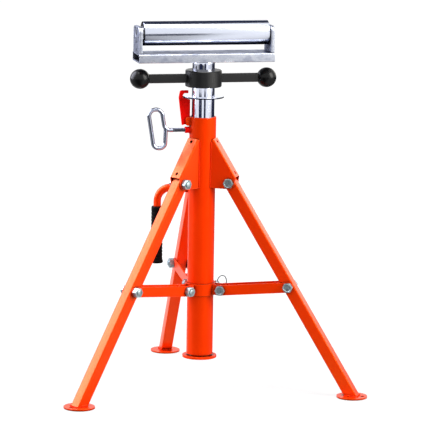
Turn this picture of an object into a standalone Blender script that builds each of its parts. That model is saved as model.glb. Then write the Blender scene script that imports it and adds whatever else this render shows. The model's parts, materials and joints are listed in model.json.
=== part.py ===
"""Folding roller stand: a tripod of square-tube legs round a main tube, with a jack mast and a roller.

Metres, +Z up. The origin is on the floor, at the middle of the stand's footprint. The main tube's axis
stands a quarter of the foot circle's radius in front of it. Each leg is drawn in its own sector frame:
X outwards, Y across the leg, Z up, with the origin on the tube's axis or on the leg's hinge.
"""

import math

import bmesh
import bpy
from mathutils import Matrix, Vector

MM = 0.001

# Gaps between pieces that touch, and between pieces that turn or slide
GAP = 0.3 * MM
RUNNING = 0.4 * MM

# Main tube and base plate
TUBE_R = 28.5 * MM
TUBE_WALL = 3.0 * MM
TUBE_BOTTOM_Z = 70.2 * MM
TUBE_ABOVE_HOOD = 45.26 * MM
BASE_R = 37.0 * MM
BASE_THICK = 5.0 * MM
BASE_SLIT = 3.0 * MM
PLUG_HEIGHT = 14.0 * MM

# Legs
LEG_NAMES = {"right": -30.0, "rear": 90.0, "left": 210.0}
LEG_SIDE = 25.0 * MM
LEG_WALL = 2.0 * MM
LEG_ANGLE = math.radians(32.0)
LEG_TOP = 8.0 * MM
LEG_BOLT_DISTANCE = 255.9 * MM
HINGE_R = 64.3 * MM
HINGE_Z = 448.1 * MM
FOOT_R = 33.0 * MM
FOOT_THICK = 4.0 * MM
FOOT_HOLE_R = 4.5 * MM
FOOT_HOLE_OFFSET = 23.0 * MM

# M12 bolts and nuts
BOLT_R = 6.0 * MM
BOLT_FLATS = 19.0 * MM
HEAD_THICK = 7.5 * MM
NUT_THICK = 10.0 * MM
BOLT_PROUD = 2.5 * MM

# Hood brackets over the leg hinges
SHEET = 2.5 * MM
HOOD_SHEET = 3.0 * MM
LEG_SIDE_PLAY = 0.5 * MM
HOOD_PLAY = 4.0 * MM
HOOD_TOP = 98.0 * MM
HOOD_WEB_END = 4.0 * MM
HOOD_TOP_LIP = 10.0 * MM
LOBE_R = 12.5 * MM
HOOD_BEND_R = 3.0 * MM
WEB_HOLE_R = 2.2 * MM
WEB_HOLE_UPPER = 90.0 * MM
WEB_HOLE_LOWER = 13.5 * MM

# Sliding collar and its braces
BRACE_RISE = 17.28 * MM
COLLAR_HEIGHT = 25.2 * MM
COLLAR_WALL = 3.3 * MM
COLLAR_PIVOT_R = 49.3 * MM
EAR_R = 11.0 * MM
EAR_THICK = 4.0 * MM
BRACE_HEIGHT = 22.0 * MM
BRACE_WEB_START = 16.0 * MM
BRACE_WEB_CUT = 53.0 * MM

# Lock pin through the collar
PIN_AZIMUTH = math.radians(30.0)
PIN_R = 4.0 * MM
PIN_ABOVE = 5.0 * MM
PIN_BOSS_R = 7.0 * MM
PIN_BOSS_OUT = 7.0 * MM
PIN_HEAD_R = 6.0 * MM
PIN_HEAD = 3.0 * MM
PIN_EYE = 8.0 * MM
PIN_EYE_R = 1.6 * MM
RING_MEAN_R = 14.0 * MM
RING_WIRE_R = 0.9 * MM

# Mast that slides in the main tube, with its latch ring
MAST_R = 24.15 * MM
MAST_WALL = 3.0 * MM
MAST_FOOT_GAP = 6.0 * MM
MAST_SHOWN = 76.7 * MM
RING_FLANGE_R = 44.0 * MM
RING_BELOW_NUT = 23.3 * MM
RING_FLANGE_THICK = 3.0 * MM
WASHER_THICK = 2.0 * MM

# Ball-handle nut
NUT_HUB_R = 39.0 * MM
NUT_HUB_HEIGHT = 35.5 * MM
NUT_SKIRT = 12.0 * MM
NUT_EDGE = 1.5 * MM
ARM_HEIGHT = 19.0 * MM
ARM_DEPTH = 13.0 * MM
ARM_SOCKET = 6.0 * MM
ARM_STUD_R = 5.0 * MM
ARM_STUD = 12.0 * MM
BALL_R = 21.3 * MM
BALL_AT = 138.3 * MM
BALL_FLAT = 19.0 * MM

# Lead screw and head
SCREW_R = 12.0 * MM
SCREW_LENGTH = 186.0 * MM
SLEEVE_R = 23.8 * MM
SLEEVE_WALL = 3.0 * MM
SLEEVE_IN_NUT = 4.0 * MM
SLEEVE_SHOWN = 19.0 * MM
CRADLE_HEIGHT = 19.0 * MM
CRADLE_LENGTH = 295.0 * MM
CRADLE_DEPTH = 70.0 * MM
CRADLE_WALL = 3.0 * MM
END_THICK = 8.0 * MM
END_DEPTH = 60.0 * MM
END_ABOVE_AXLE = 16.1 * MM
END_CORNER_R = 11.0 * MM

# Roller on its axle
ROLLER_R = 25.8 * MM
ROLLER_ABOVE_CRADLE = 40.9 * MM
ROLLER_WALL = 3.0 * MM
ROLLER_PLAY = 1.2 * MM
AXLE_R = 7.5 * MM
BEARING_R = 16.0 * MM
BEARING_WIDTH = 11.0 * MM
BEARING_RECESS = 1.0 * MM
CAP_WIDTH = 14.0 * MM

# Clamp screw with its bent loop handle
ROD_R = 4.4 * MM
CLAMP_BELOW_TOP = 28.3 * MM
CLAMP_BOSS_R = 7.0 * MM
CLAMP_BOSS_OUT = 39.0 * MM
LOOP_NEAR = 83.0 * MM
LOOP_TOP_NEAR = 90.5 * MM
LOOP_TOP_FAR = 120.0 * MM
LOOP_LOW_FAR = 106.5 * MM
LOOP_LOW_NEAR = 82.0 * MM
LOOP_RISE = 44.5 * MM
LOOP_DROP = 38.9 * MM
LOOP_BEND_R = 14.0 * MM
LOOP_LOW_BEND_R = 12.0 * MM

# Latch hook over the mast's ring
LATCH_PIVOT_R = 34.0 * MM
LATCH_BELOW_TOP = 9.8 * MM
LATCH_THICK = 6.0 * MM
LATCH_PIN_R = 2.5 * MM
LATCH_TOP_ABOVE_RING = 12.4 * MM
NOSE_THICK = 6.2 * MM
NOSE_TIP_R = 33.0 * MM
HOOK_BACK_R = 51.5 * MM
HOOK_FOOT_R = 46.0 * MM
HOOK_FACE_R = 28.9 * MM
HOOK_HEEL = 5.0 * MM
HOOK_FOOT_DROP = 8.2 * MM
EAR_PLATE = 3.0 * MM
LATCH_EAR_UP = 9.5 * MM
LATCH_EAR_DOWN = 9.0 * MM

# Carry handle between the left leg and the rear leg
HANDLE_AZIMUTH = math.radians(150.0)
HANDLE_ROD_R = 8.3 * MM
HANDLE_BELOW_HINGE = 19.6 * MM
HANDLE_REACH = 100.0 * MM
HANDLE_BEND_R = 31.0 * MM
HANDLE_DROP = 160.5 * MM
GRIP_R = 12.6 * MM
GRIP_FLARE_R = 14.0 * MM
GRIP_LENGTH = 124.0 * MM
GRIP_END = 6.0 * MM
GRIP_FLARE = 4.0 * MM

# Facets
SMALL_ROUND = 12
BALL_ROUND = 2 * SMALL_ROUND
ROUND = 3 * SMALL_ROUND
FINE_ROUND = 4 * SMALL_ROUND
ROD_SIDES = 10

# Sizes that follow from the ones above
FOOT_AT = HINGE_R + (HINGE_Z - FOOT_THICK) * math.tan(LEG_ANGLE)
AXIS_Y = -FOOT_AT / 4
CHEEK_IN = LEG_SIDE / 2 + LEG_SIDE_PLAY
CHEEK_OUT = CHEEK_IN + SHEET
HOOD_OUT = CHEEK_IN + HOOD_SHEET
HOOD_IN_N = LEG_SIDE / 2 + HOOD_PLAY
HOOD_OUT_N = HOOD_IN_N + HOOD_SHEET
COLLAR_Z = HINGE_Z - LEG_BOLT_DISTANCE * math.cos(LEG_ANGLE) - BRACE_RISE
BRACE_RUN = HINGE_R + LEG_BOLT_DISTANCE * math.sin(LEG_ANGLE) - COLLAR_PIVOT_R
BRACE_LENGTH = math.hypot(BRACE_RISE, BRACE_RUN)
BRACE_SLOPE = math.atan2(BRACE_RISE, BRACE_RUN)
HOOD_TOP_Z = HINGE_Z + HOOD_TOP * math.cos(LEG_ANGLE) + HOOD_OUT_N * math.sin(LEG_ANGLE)
TUBE_TOP_Z = HOOD_TOP_Z + TUBE_ABOVE_HOOD
CLAMP_Z = TUBE_TOP_Z - CLAMP_BELOW_TOP
LATCH_PIVOT_Z = TUBE_TOP_Z - LATCH_BELOW_TOP
HANDLE_Z = HINGE_Z - HANDLE_BELOW_HINGE
HANDLE_END_Z = HANDLE_Z - HANDLE_DROP
GRIP_TOP_Z = HANDLE_END_Z - GRIP_END + GRIP_LENGTH
COLLAR_IN_R = TUBE_R + RUNNING
COLLAR_OUT_R = COLLAR_IN_R + COLLAR_WALL
BASE_TOP_Z = TUBE_BOTTOM_Z - BASE_SLIT
MAST_BOTTOM_Z = BASE_TOP_Z + PLUG_HEIGHT + MAST_FOOT_GAP
MAST_TOP_Z = TUBE_TOP_Z + MAST_SHOWN
NUT_BOTTOM_Z = MAST_TOP_Z - NUT_SKIRT
RING_FLANGE_Z = NUT_BOTTOM_Z - RING_BELOW_NUT
NUT_TOP_Z = NUT_BOTTOM_Z + NUT_HUB_HEIGHT
NUT_SHOULDER_Z = MAST_TOP_Z + GAP + WASHER_THICK + GAP
SLEEVE_BOTTOM_Z = NUT_TOP_Z - SLEEVE_IN_NUT
CRADLE_BOTTOM_Z = NUT_TOP_Z + SLEEVE_SHOWN
CRADLE_TOP_Z = CRADLE_BOTTOM_Z + CRADLE_HEIGHT
END_BOTTOM_Z = CRADLE_TOP_Z + GAP
ROLLER_Z = CRADLE_TOP_Z + ROLLER_ABOVE_CRADLE
END_TOP_Z = ROLLER_Z + END_ABOVE_AXLE
ROLLER_HALF = CRADLE_LENGTH / 2 - END_THICK - ROLLER_PLAY


def circle(cx, cz, radius, steps):
    """Points of a circle, with points on both axes when steps divides by four."""
    turn = 2 * math.pi / steps
    return [(cx + radius * math.cos(i * turn), cz + radius * math.sin(i * turn)) for i in range(steps)]


def arc(cx, cz, radius, start_deg, end_deg, steps):
    """Points of an arc, both ends included."""
    points = []
    for i in range(steps + 1):
        angle = math.radians(start_deg + (end_deg - start_deg) * i / steps)
        points.append((cx + radius * math.cos(angle), cz + radius * math.sin(angle)))
    return points


def rounded_rectangle(width, height, radius, steps=2):
    """Outline of a rectangle with round corners, centred on the origin."""
    x, z = width / 2 - radius, height / 2 - radius
    points = []
    for cx, cz, start in ((x, z, 0), (-x, z, 90), (-x, -z, 180), (x, -z, 270)):
        points += arc(cx, cz, radius, start, start + 90, steps)
    return points


def filleted(corners, radii, steps=5):
    """A route through corners, each inner corner rounded by its own radius."""
    route = [Vector(corners[0])]
    for i in range(1, len(corners) - 1):
        here = Vector(corners[i])
        back = (Vector(corners[i - 1]) - here).normalized()
        ahead = (Vector(corners[i + 1]) - here).normalized()
        half = back.angle(ahead) / 2
        centre = here + (back + ahead).normalized() * (radii[i - 1] / math.sin(half))
        first = here + back * (radii[i - 1] / math.tan(half)) - centre
        last = here + ahead * (radii[i - 1] / math.tan(half)) - centre
        for k in range(steps + 1):
            route.append(centre + first.slerp(last, k / steps).normalized() * radii[i - 1])
    route.append(Vector(corners[-1]))
    return [(p.x, p.y) for p in route]


def finished(bm):
    """Turn a bmesh into a mesh with its faces pointing out."""
    bmesh.ops.remove_doubles(bm, verts=bm.verts, dist=1e-7)
    bmesh.ops.recalc_face_normals(bm, faces=bm.faces)
    mesh = bpy.data.meshes.new("shape")
    bm.to_mesh(mesh)
    bm.free()
    return mesh


def revolved(profile, steps=ROUND):
    """Spin a closed profile of (radius, height) points round Z."""
    bm = bmesh.new()
    verts = [bm.verts.new((r, 0, z)) for r, z in profile]
    edges = [bm.edges.new((verts[i], verts[(i + 1) % len(verts)])) for i in range(len(verts))]
    bmesh.ops.spin(
        bm, geom=verts + edges, cent=(0, 0, 0), axis=(0, 0, 1), angle=2 * math.pi, steps=steps, use_merge=True
    )
    bmesh.ops.dissolve_degenerate(bm, edges=bm.edges, dist=1e-7)
    return finished(bm)


def ring(inner_r, outer_r, low, high, steps=ROUND):
    """A plain turned ring or tube."""
    return revolved([(inner_r, low), (outer_r, low), (outer_r, high), (inner_r, high)], steps)


def disc(radius, low, high, steps=ROUND):
    """A plain round bar along Z."""
    return prism_z(circle(0, 0, radius, steps), low, high)


def prism_z(outline, low, high):
    """Extrude an XY outline along Z."""
    bm = bmesh.new()
    face = bm.faces.new([bm.verts.new((x, y, low)) for x, y in outline])
    raised = bmesh.ops.extrude_face_region(bm, geom=[face])["geom"]
    moved = [v for v in raised if isinstance(v, bmesh.types.BMVert)]
    bmesh.ops.translate(bm, verts=moved, vec=(0, 0, high - low))
    return finished(bm)


def prism_y(outline, near, far):
    """Extrude an XZ outline along Y."""
    mesh = prism_z([(x, -z) for x, z in outline], near, far)
    mesh.transform(Matrix.Rotation(math.radians(-90), 4, "X"))
    return mesh


def hollow_prism(outer, inner, low, high):
    """A tube with two matching XY outlines; low and high give an end's height at (x, y)."""
    bm = bmesh.new()
    rows = []
    for outline, end in ((outer, low), (outer, high), (inner, high), (inner, low)):
        rows.append([bm.verts.new((x, y, end(x, y))) for x, y in outline])
    count = len(outer)
    for row in range(4):
        a, b = rows[row], rows[(row + 1) % 4]
        for i in range(count):
            j = (i + 1) % count
            bm.faces.new((a[i], a[j], b[j], b[i]))
    return finished(bm)


def swept_rod(route, radius, closed=False, sides=ROD_SIDES):
    """A round rod along a flat route of (x, z) points."""
    bm = bmesh.new()
    rings = []
    count = len(route)
    for i, (x, z) in enumerate(route):
        before = route[i - 1] if i or closed else route[i]
        after = route[(i + 1) % count] if i < count - 1 or closed else route[i]
        along = (Vector(after) - Vector(before)).normalized()
        side = Vector((-along.y, 0, along.x))
        rings.append([
            bm.verts.new(Vector((x, 0, z)) + side * (radius * math.cos(a)) + Vector((0, radius * math.sin(a), 0)))
            for a in (2 * math.pi * k / sides for k in range(sides))
        ])
    for i in range(count if closed else count - 1):
        a, b = rings[i], rings[(i + 1) % count]
        for k in range(sides):
            m = (k + 1) % sides
            bm.faces.new((a[k], a[m], b[m], b[k]))
    if not closed:
        bm.faces.new(rings[0])
        bm.faces.new(rings[-1])
    return finished(bm)


def moved(mesh, x=0.0, y=0.0, z=0.0):
    """Shift a mesh."""
    mesh.transform(Matrix.Translation((x, y, z)))
    return mesh


def turned(mesh, angle, axis):
    """Turn a mesh about an axis through the origin."""
    mesh.transform(Matrix.Rotation(angle, 4, axis))
    return mesh


def combined(mesh, tools, operation="DIFFERENCE"):
    """Cut tools from a mesh, or join them to it, with exact Booleans."""
    body = bpy.data.objects.new("boolean_body", mesh)
    bpy.context.collection.objects.link(body)
    helpers = [body]
    for tool_mesh in tools:
        tool = bpy.data.objects.new("boolean_tool", tool_mesh)
        tool.hide_render = True
        tool.display_type = "WIRE"
        bpy.context.collection.objects.link(tool)
        helpers.append(tool)
        step = body.modifiers.new("boolean", "BOOLEAN")
        step.operation = operation
        step.solver = "EXACT"
        step.object = tool
    seen = body.evaluated_get(bpy.context.evaluated_depsgraph_get())
    result = bpy.data.meshes.new_from_object(seen)
    for helper in helpers:
        bpy.data.objects.remove(helper)
    return result


def finish(name, colour, roughness, metallic):
    """A plain Principled material."""
    material = bpy.data.materials.new(name)
    material.use_nodes = True
    shader = material.node_tree.nodes["Principled BSDF"]
    shader.inputs["Base Color"].default_value = (*colour, 1)
    shader.inputs["Roughness"].default_value = roughness
    shader.inputs["Metallic"].default_value = metallic
    return material


def frame(name, location, parent=None, azimuth=0.0):
    """An empty that carries pieces, on a joint's axis where they move."""
    empty = bpy.data.objects.new(name, None)
    bpy.context.collection.objects.link(empty)
    empty.location = location
    empty.rotation_euler = (0, 0, azimuth)
    empty.parent = parent
    return empty


def piece(name, mesh, look, parent, location=(0, 0, 0), tilt=0.0, azimuth=0.0):
    """One named sub-part. tilt turns it about its own Y, azimuth about Z."""
    obj = bpy.data.objects.new(name, mesh)
    bpy.context.collection.objects.link(obj)
    obj.location = location
    obj.rotation_euler = (0, tilt, azimuth)
    obj.parent = parent
    own = look.copy()
    own.name = name
    mesh.materials.clear()
    mesh.materials.append(own)
    mesh.shade_smooth()
    mesh.set_sharp_from_angle(angle=math.radians(35))
    return obj


def cross_hole(x, z, radius, reach):
    """A cutter for a hole along Y."""
    return prism_y(circle(x, z, radius, SMALL_ROUND), -reach, reach)


def hexagon(flats):
    """Outline of a hexagon with the given width across flats."""
    return circle(0, 0, flats / math.sqrt(3), 6)


def tube_cutter(radius):
    """A long round bar on the main tube's axis that copes what is welded to the tube."""
    return disc(radius, -TUBE_TOP_Z, 2 * TUBE_TOP_Z, FINE_ROUND)


def bolt(grip):
    """Hex bolt along Y: the head on the -Y side, and grip long between head and nut."""
    head = turned(prism_z(hexagon(BOLT_FLATS), 0, HEAD_THICK), math.radians(90), "X")
    head = moved(head, y=-grip / 2 - GAP)
    end = grip / 2 + GAP + NUT_THICK + BOLT_PROUD
    shank = prism_y(circle(0, 0, BOLT_R, SMALL_ROUND), -grip / 2 - GAP - HEAD_THICK / 2, end)
    return combined(head, [shank], "UNION")


def nut(grip):
    """Hex nut on the +Y side of the same grip."""
    block = turned(prism_z(hexagon(BOLT_FLATS), 0, NUT_THICK), math.radians(-90), "X")
    block = moved(block, y=grip / 2 + GAP)
    return combined(block, [cross_hole(0, 0, BOLT_R + GAP, grip)])


def main_tube():
    """Tube with the latch's two lugs, the clamp screw's hole and the lock pin's hole."""
    tube = ring(TUBE_R - TUBE_WALL, TUBE_R, TUBE_BOTTOM_Z, TUBE_TOP_Z, FINE_ROUND)
    tube = combined(tube, latch_lugs(), "UNION")
    screw_hole = moved(turned(disc(ROD_R + RUNNING, 0, 2 * TUBE_R, SMALL_ROUND), math.radians(-90), "Y"), z=CLAMP_Z)
    pin_hole = turned(disc(PIN_R + RUNNING, 0, 2 * TUBE_R, SMALL_ROUND), math.radians(90), "Y")
    pin_hole = moved(turned(pin_hole, PIN_AZIMUTH, "Z"), z=COLLAR_Z + PIN_ABOVE)
    return combined(tube, [screw_hole, pin_hole])


def base_plate():
    """Disc below the tube, with the plug that carries it inside the tube."""
    plug_r = TUBE_R - TUBE_WALL - GAP
    low = BASE_TOP_Z - BASE_THICK
    return revolved([
        (0, low),
        (BASE_R, low),
        (BASE_R, BASE_TOP_Z),
        (plug_r, BASE_TOP_Z),
        (plug_r, BASE_TOP_Z + PLUG_HEIGHT - MM),
        (plug_r - MM, BASE_TOP_Z + PLUG_HEIGHT),
        (0, BASE_TOP_Z + PLUG_HEIGHT),
    ])


def on_leg(s, n):
    """Sector point at s down the leg's line and n out from it, from the hinge."""
    sin, cos = math.sin(LEG_ANGLE), math.cos(LEG_ANGLE)
    return HINGE_R + s * sin + n * cos, HINGE_Z - s * cos + n * sin


def hood_bracket():
    """Folded hood: an outer web with two cheeks that reach the tube and hold the hinge bolt."""
    top_out = on_leg(-HOOD_TOP, HOOD_OUT_N)
    top_in = on_leg(-HOOD_TOP, HOOD_OUT_N - HOOD_TOP_LIP)
    web_end = on_leg(-HOOD_WEB_END, HOOD_OUT_N)
    core = TUBE_R / 2
    outline = [top_out, top_in, (core, top_in[1]), (core, HINGE_Z - LOBE_R)]
    outline += arc(HINGE_R, HINGE_Z, LOBE_R, -90, 0, 6)
    outline.append(web_end)
    bm = bmesh.new()
    bm.from_mesh(prism_y(outline, -HOOD_OUT, HOOD_OUT))
    bends = [
        e for e in bm.edges
        if {round(v.co.z, 5) for v in e.verts} == {round(top_out[1], 5), round(web_end[1], 5)}
    ]
    bmesh.ops.bevel(bm, geom=bends, offset=HOOD_BEND_R, segments=3, affect="EDGES", profile=0.5)
    blank = finished(bm)
    inside = [
        on_leg(-2 * HOOD_TOP, HOOD_IN_N),
        on_leg(-HOOD_WEB_END, HOOD_IN_N),
        on_leg(-HOOD_WEB_END, 2 * HOOD_OUT_N),
        on_leg(HOOD_TOP, 2 * HOOD_OUT_N),
        on_leg(HOOD_TOP, -2 * HOOD_TOP),
        on_leg(-2 * HOOD_TOP, -2 * HOOD_TOP),
    ]
    tools = [
        prism_y(inside, -CHEEK_IN, CHEEK_IN),
        tube_cutter(TUBE_R + GAP),
        cross_hole(HINGE_R, HINGE_Z, BOLT_R + GAP, 2 * HOOD_OUT),
    ]
    for s in (-WEB_HOLE_UPPER, -WEB_HOLE_LOWER):
        hole = turned(disc(WEB_HOLE_R, 0, 2 * HOOD_OUT_N, SMALL_ROUND), math.pi / 2 - LEG_ANGLE, "Y")
        x, z = on_leg(s, 0)
        tools.append(moved(hole, x, 0, z))
    return combined(blank, tools)


def leg_tube():
    """Square tube along its own -Z, cut level at the foot and drilled for its two bolts."""
    sin, cos = math.sin(LEG_ANGLE), math.cos(LEG_ANGLE)
    drop = HINGE_Z - FOOT_THICK - GAP

    def top(x, y):
        return LEG_TOP

    def foot(x, y):
        return (-drop - x * sin) / cos

    outer = rounded_rectangle(LEG_SIDE, LEG_SIDE, LEG_WALL * 1.25)
    inner = rounded_rectangle(LEG_SIDE - 2 * LEG_WALL, LEG_SIDE - 2 * LEG_WALL, LEG_WALL / 4)
    tube = hollow_prism(outer, inner, foot, top)
    holes = [cross_hole(0, z, BOLT_R + RUNNING, LEG_SIDE) for z in (0, -LEG_BOLT_DISTANCE)]
    return combined(tube, holes)


def foot_plate():
    """Round foot with one anchor hole outside the leg."""
    plate = disc(FOOT_R, 0, FOOT_THICK)
    hole = moved(disc(FOOT_HOLE_R, -FOOT_THICK, 2 * FOOT_THICK, SMALL_ROUND), x=FOOT_HOLE_OFFSET)
    return combined(plate, [hole])


def lock_collar():
    """Band round the tube with a pair of ears for each brace and a boss for the lock pin."""
    half = COLLAR_HEIGHT / 2
    band = ring(COLLAR_IN_R, COLLAR_OUT_R, -half, half, FINE_ROUND)
    inside = COLLAR_IN_R + COLLAR_WALL / 2
    ear = [(inside, EAR_R)] + arc(COLLAR_PIVOT_R, 0, EAR_R, 90, -90, 8) + [(inside, -EAR_R)]
    added = []
    for azimuth in LEG_NAMES.values():
        for side in (-1, 1):
            edges = sorted((side * LEG_SIDE / 2, side * (LEG_SIDE / 2 - EAR_THICK)))
            added.append(turned(prism_y(ear, *edges), math.radians(azimuth), "Z"))
    boss = turned(disc(PIN_BOSS_R, inside, COLLAR_OUT_R + PIN_BOSS_OUT, SMALL_ROUND), math.radians(90), "Y")
    added.append(moved(turned(boss, PIN_AZIMUTH, "Z"), z=PIN_ABOVE))
    pin_hole = turned(disc(PIN_R + RUNNING, 0, 3 * TUBE_R, SMALL_ROUND), math.radians(90), "Y")
    cuts = [tube_cutter(COLLAR_IN_R), moved(turned(pin_hole, PIN_AZIMUTH, "Z"), z=PIN_ABOVE)]
    for azimuth in LEG_NAMES.values():
        hole = cross_hole(COLLAR_PIVOT_R, 0, BOLT_R + GAP, LEG_SIDE)
        cuts.append(turned(hole, math.radians(azimuth), "Z"))
    return combined(combined(band, added, "UNION"), cuts)


def brace():
    """Folded channel, open at the top, with its first pivot at the origin and its second along +X."""
    half = BRACE_HEIGHT / 2
    ends = arc(0, 0, half, 270, 90, 8) + arc(BRACE_LENGTH, 0, half, 90, -90, 8)
    blank = prism_y(ends, -CHEEK_OUT, CHEEK_OUT)
    far = BRACE_LENGTH + 2 * BRACE_HEIGHT
    web_far = BRACE_LENGTH - BRACE_WEB_CUT
    floor = SHEET - half
    inside = [
        (-BRACE_HEIGHT, BRACE_HEIGHT), (-BRACE_HEIGHT, -BRACE_HEIGHT), (BRACE_WEB_START, -BRACE_HEIGHT),
        (BRACE_WEB_START, floor), (web_far, floor), (web_far, -BRACE_HEIGHT), (far, -BRACE_HEIGHT),
        (far, BRACE_HEIGHT),
    ]
    tools = [prism_y(inside, -CHEEK_IN, CHEEK_IN)]
    tools += [cross_hole(x, 0, BOLT_R + RUNNING, 2 * CHEEK_OUT) for x in (0, BRACE_LENGTH)]
    return combined(blank, tools)


def brace_bolt_head():
    """Head half of the leg's brace bolt, seated in one cheek and clear of the leg."""
    head = turned(prism_z(hexagon(BOLT_FLATS), 0, HEAD_THICK), math.radians(90), "X")
    head = moved(head, y=-CHEEK_OUT - GAP)
    shank = prism_y(circle(0, 0, BOLT_R, SMALL_ROUND), -CHEEK_OUT - HEAD_THICK / 2, -LEG_SIDE / 2 - GAP)
    return combined(head, [shank], "UNION")


def brace_bolt_nut():
    """Nut half of the same bolt, with the bolt's end standing out of it."""
    block = turned(prism_z(hexagon(BOLT_FLATS), 0, NUT_THICK), math.radians(-90), "X")
    block = moved(block, y=CHEEK_OUT + GAP)
    end = CHEEK_OUT + GAP + NUT_THICK + BOLT_PROUD
    shank = prism_y(circle(0, 0, BOLT_R, SMALL_ROUND), LEG_SIDE / 2 + GAP, end)
    return combined(block, [shank], "UNION")


def lock_pin():
    """Pull pin along +X, drawn just clear of the main tube, with an eye for its ring."""
    shoulder = COLLAR_OUT_R + PIN_BOSS_OUT + GAP + TUBE_WALL
    tail = shoulder + PIN_HEAD + PIN_EYE
    bar = revolved([
        (0, TUBE_R + GAP),
        (PIN_R - MM, TUBE_R + GAP),
        (PIN_R, TUBE_R + GAP + MM),
        (PIN_R, shoulder),
        (PIN_HEAD_R, shoulder),
        (PIN_HEAD_R, shoulder + PIN_HEAD),
        (PIN_R, shoulder + PIN_HEAD),
        (PIN_R, tail - MM),
        (PIN_R - MM, tail),
        (0, tail),
    ], SMALL_ROUND)
    bar = turned(bar, math.radians(90), "Y")
    eye = disc(PIN_EYE_R, -2 * PIN_R, 2 * PIN_R, SMALL_ROUND)
    return combined(bar, [moved(eye, x=tail - PIN_EYE / 2)])


def split_ring():
    """Wire ring through the pin's eye, in the plane of the pin."""
    eye = COLLAR_OUT_R + PIN_BOSS_OUT + GAP + TUBE_WALL + PIN_HEAD + PIN_EYE / 2
    return moved(swept_rod(circle(RING_MEAN_R, 0, RING_MEAN_R, 2 * SMALL_ROUND), RING_WIRE_R, True, 6), x=eye)


def adjusting_nut():
    """Cast hub: a skirt over the mast, a bore for the screw, a recess for the sleeve, and arm sockets."""
    skirt_r = MAST_R + RUNNING
    recess_r = SLEEVE_R + RUNNING
    bore_r = SCREW_R + RUNNING
    hub = revolved([
        (skirt_r, NUT_BOTTOM_Z),
        (NUT_HUB_R - NUT_EDGE, NUT_BOTTOM_Z),
        (NUT_HUB_R, NUT_BOTTOM_Z + NUT_EDGE),
        (NUT_HUB_R, NUT_TOP_Z - NUT_EDGE),
        (NUT_HUB_R - NUT_EDGE, NUT_TOP_Z),
        (recess_r, NUT_TOP_Z),
        (recess_r, SLEEVE_BOTTOM_Z - GAP),
        (bore_r, SLEEVE_BOTTOM_Z - GAP),
        (bore_r, NUT_SHOULDER_Z),
        (skirt_r, NUT_SHOULDER_Z),
    ])
    middle = (NUT_BOTTOM_Z + NUT_TOP_Z) / 2
    sockets = []
    for side in (-1, 1):
        outline = rounded_rectangle(ARM_DEPTH + 2 * GAP, ARM_HEIGHT + 2 * GAP, 3 * MM)
        socket = prism_z([(y, x) for x, y in outline], NUT_HUB_R - ARM_SOCKET - GAP, 2 * NUT_HUB_R)
        sockets.append(moved(turned(socket, side * math.radians(90), "Y"), z=middle))
    return combined(hub, sockets)


def handle_arm():
    """Flat bar along +X with a turned stud for the ball."""
    near = NUT_HUB_R - ARM_SOCKET
    far = BALL_AT - BALL_FLAT - GAP
    outline = rounded_rectangle(ARM_DEPTH, ARM_HEIGHT, 2.5 * MM)
    bar = turned(prism_z([(y, x) for x, y in outline], near, far), math.radians(90), "Y")
    stud = turned(disc(ARM_STUD_R, far - MM, far + ARM_STUD, SMALL_ROUND), math.radians(90), "Y")
    return combined(bar, [stud], "UNION")


def ball_knob():
    """Ball turned about the arm's line, with a flat and a blind bore towards the hub."""
    flat_r = math.sqrt(BALL_R**2 - BALL_FLAT**2)
    bore_r = ARM_STUD_R + GAP
    depth = -BALL_FLAT + ARM_STUD + GAP
    start = math.degrees(math.asin(flat_r / BALL_R))
    curve = [
        (BALL_R * math.sin(math.radians(a)), -BALL_R * math.cos(math.radians(a)))
        for a in (start + (180 - start) * i / (BALL_ROUND // 2) for i in range(BALL_ROUND // 2 + 1))
    ]
    curve[-1] = (0, BALL_R)
    profile = [(bore_r, -BALL_FLAT)] + curve + [(0, depth), (bore_r, depth)]
    return moved(turned(revolved(profile, BALL_ROUND), math.radians(90), "Y"), x=BALL_AT)


def cradle_section():
    """Rectangular hollow section along X, open at both ends."""
    outer = rounded_rectangle(CRADLE_HEIGHT, CRADLE_DEPTH, 2.5 * MM)
    inner = rounded_rectangle(CRADLE_HEIGHT - 2 * CRADLE_WALL, CRADLE_DEPTH - 2 * CRADLE_WALL, 0.8 * MM)
    half = CRADLE_LENGTH / 2
    section = hollow_prism(outer, inner, lambda x, y: -half, lambda x, y: half)
    return moved(turned(section, math.radians(90), "Y"), z=CRADLE_BOTTOM_Z + CRADLE_HEIGHT / 2)


def end_bracket():
    """Thick end plate, with round top corners and the axle's hole, its inner face towards -X."""
    half = END_DEPTH / 2
    outline = [(-half, END_BOTTOM_Z), (half, END_BOTTOM_Z)]
    outline += arc(half - END_CORNER_R, END_TOP_Z - END_CORNER_R, END_CORNER_R, 0, 90, 6)
    outline += arc(END_CORNER_R - half, END_TOP_Z - END_CORNER_R, END_CORNER_R, 90, 180, 6)
    plate = turned(prism_y(outline, -END_THICK, 0), math.radians(-90), "Z")
    bm = bmesh.new()
    bm.from_mesh(plate)
    rims = [
        e for e in bm.edges
        if e.calc_face_angle(0) > math.radians(80) and max(v.co.z for v in e.verts) > END_BOTTOM_Z + MM
    ]
    bmesh.ops.bevel(bm, geom=rims, offset=1.5 * MM, segments=2, affect="EDGES", profile=0.5)
    hole = moved(turned(disc(AXLE_R + GAP, -4 * END_THICK, 4 * END_THICK, SMALL_ROUND), math.radians(90), "Y"), z=ROLLER_Z)
    return combined(finished(bm), [hole])


def along_x(mesh):
    """Lay a turned piece along X on the roller's axis."""
    return moved(turned(mesh, math.radians(90), "Y"), z=ROLLER_Z)


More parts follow.
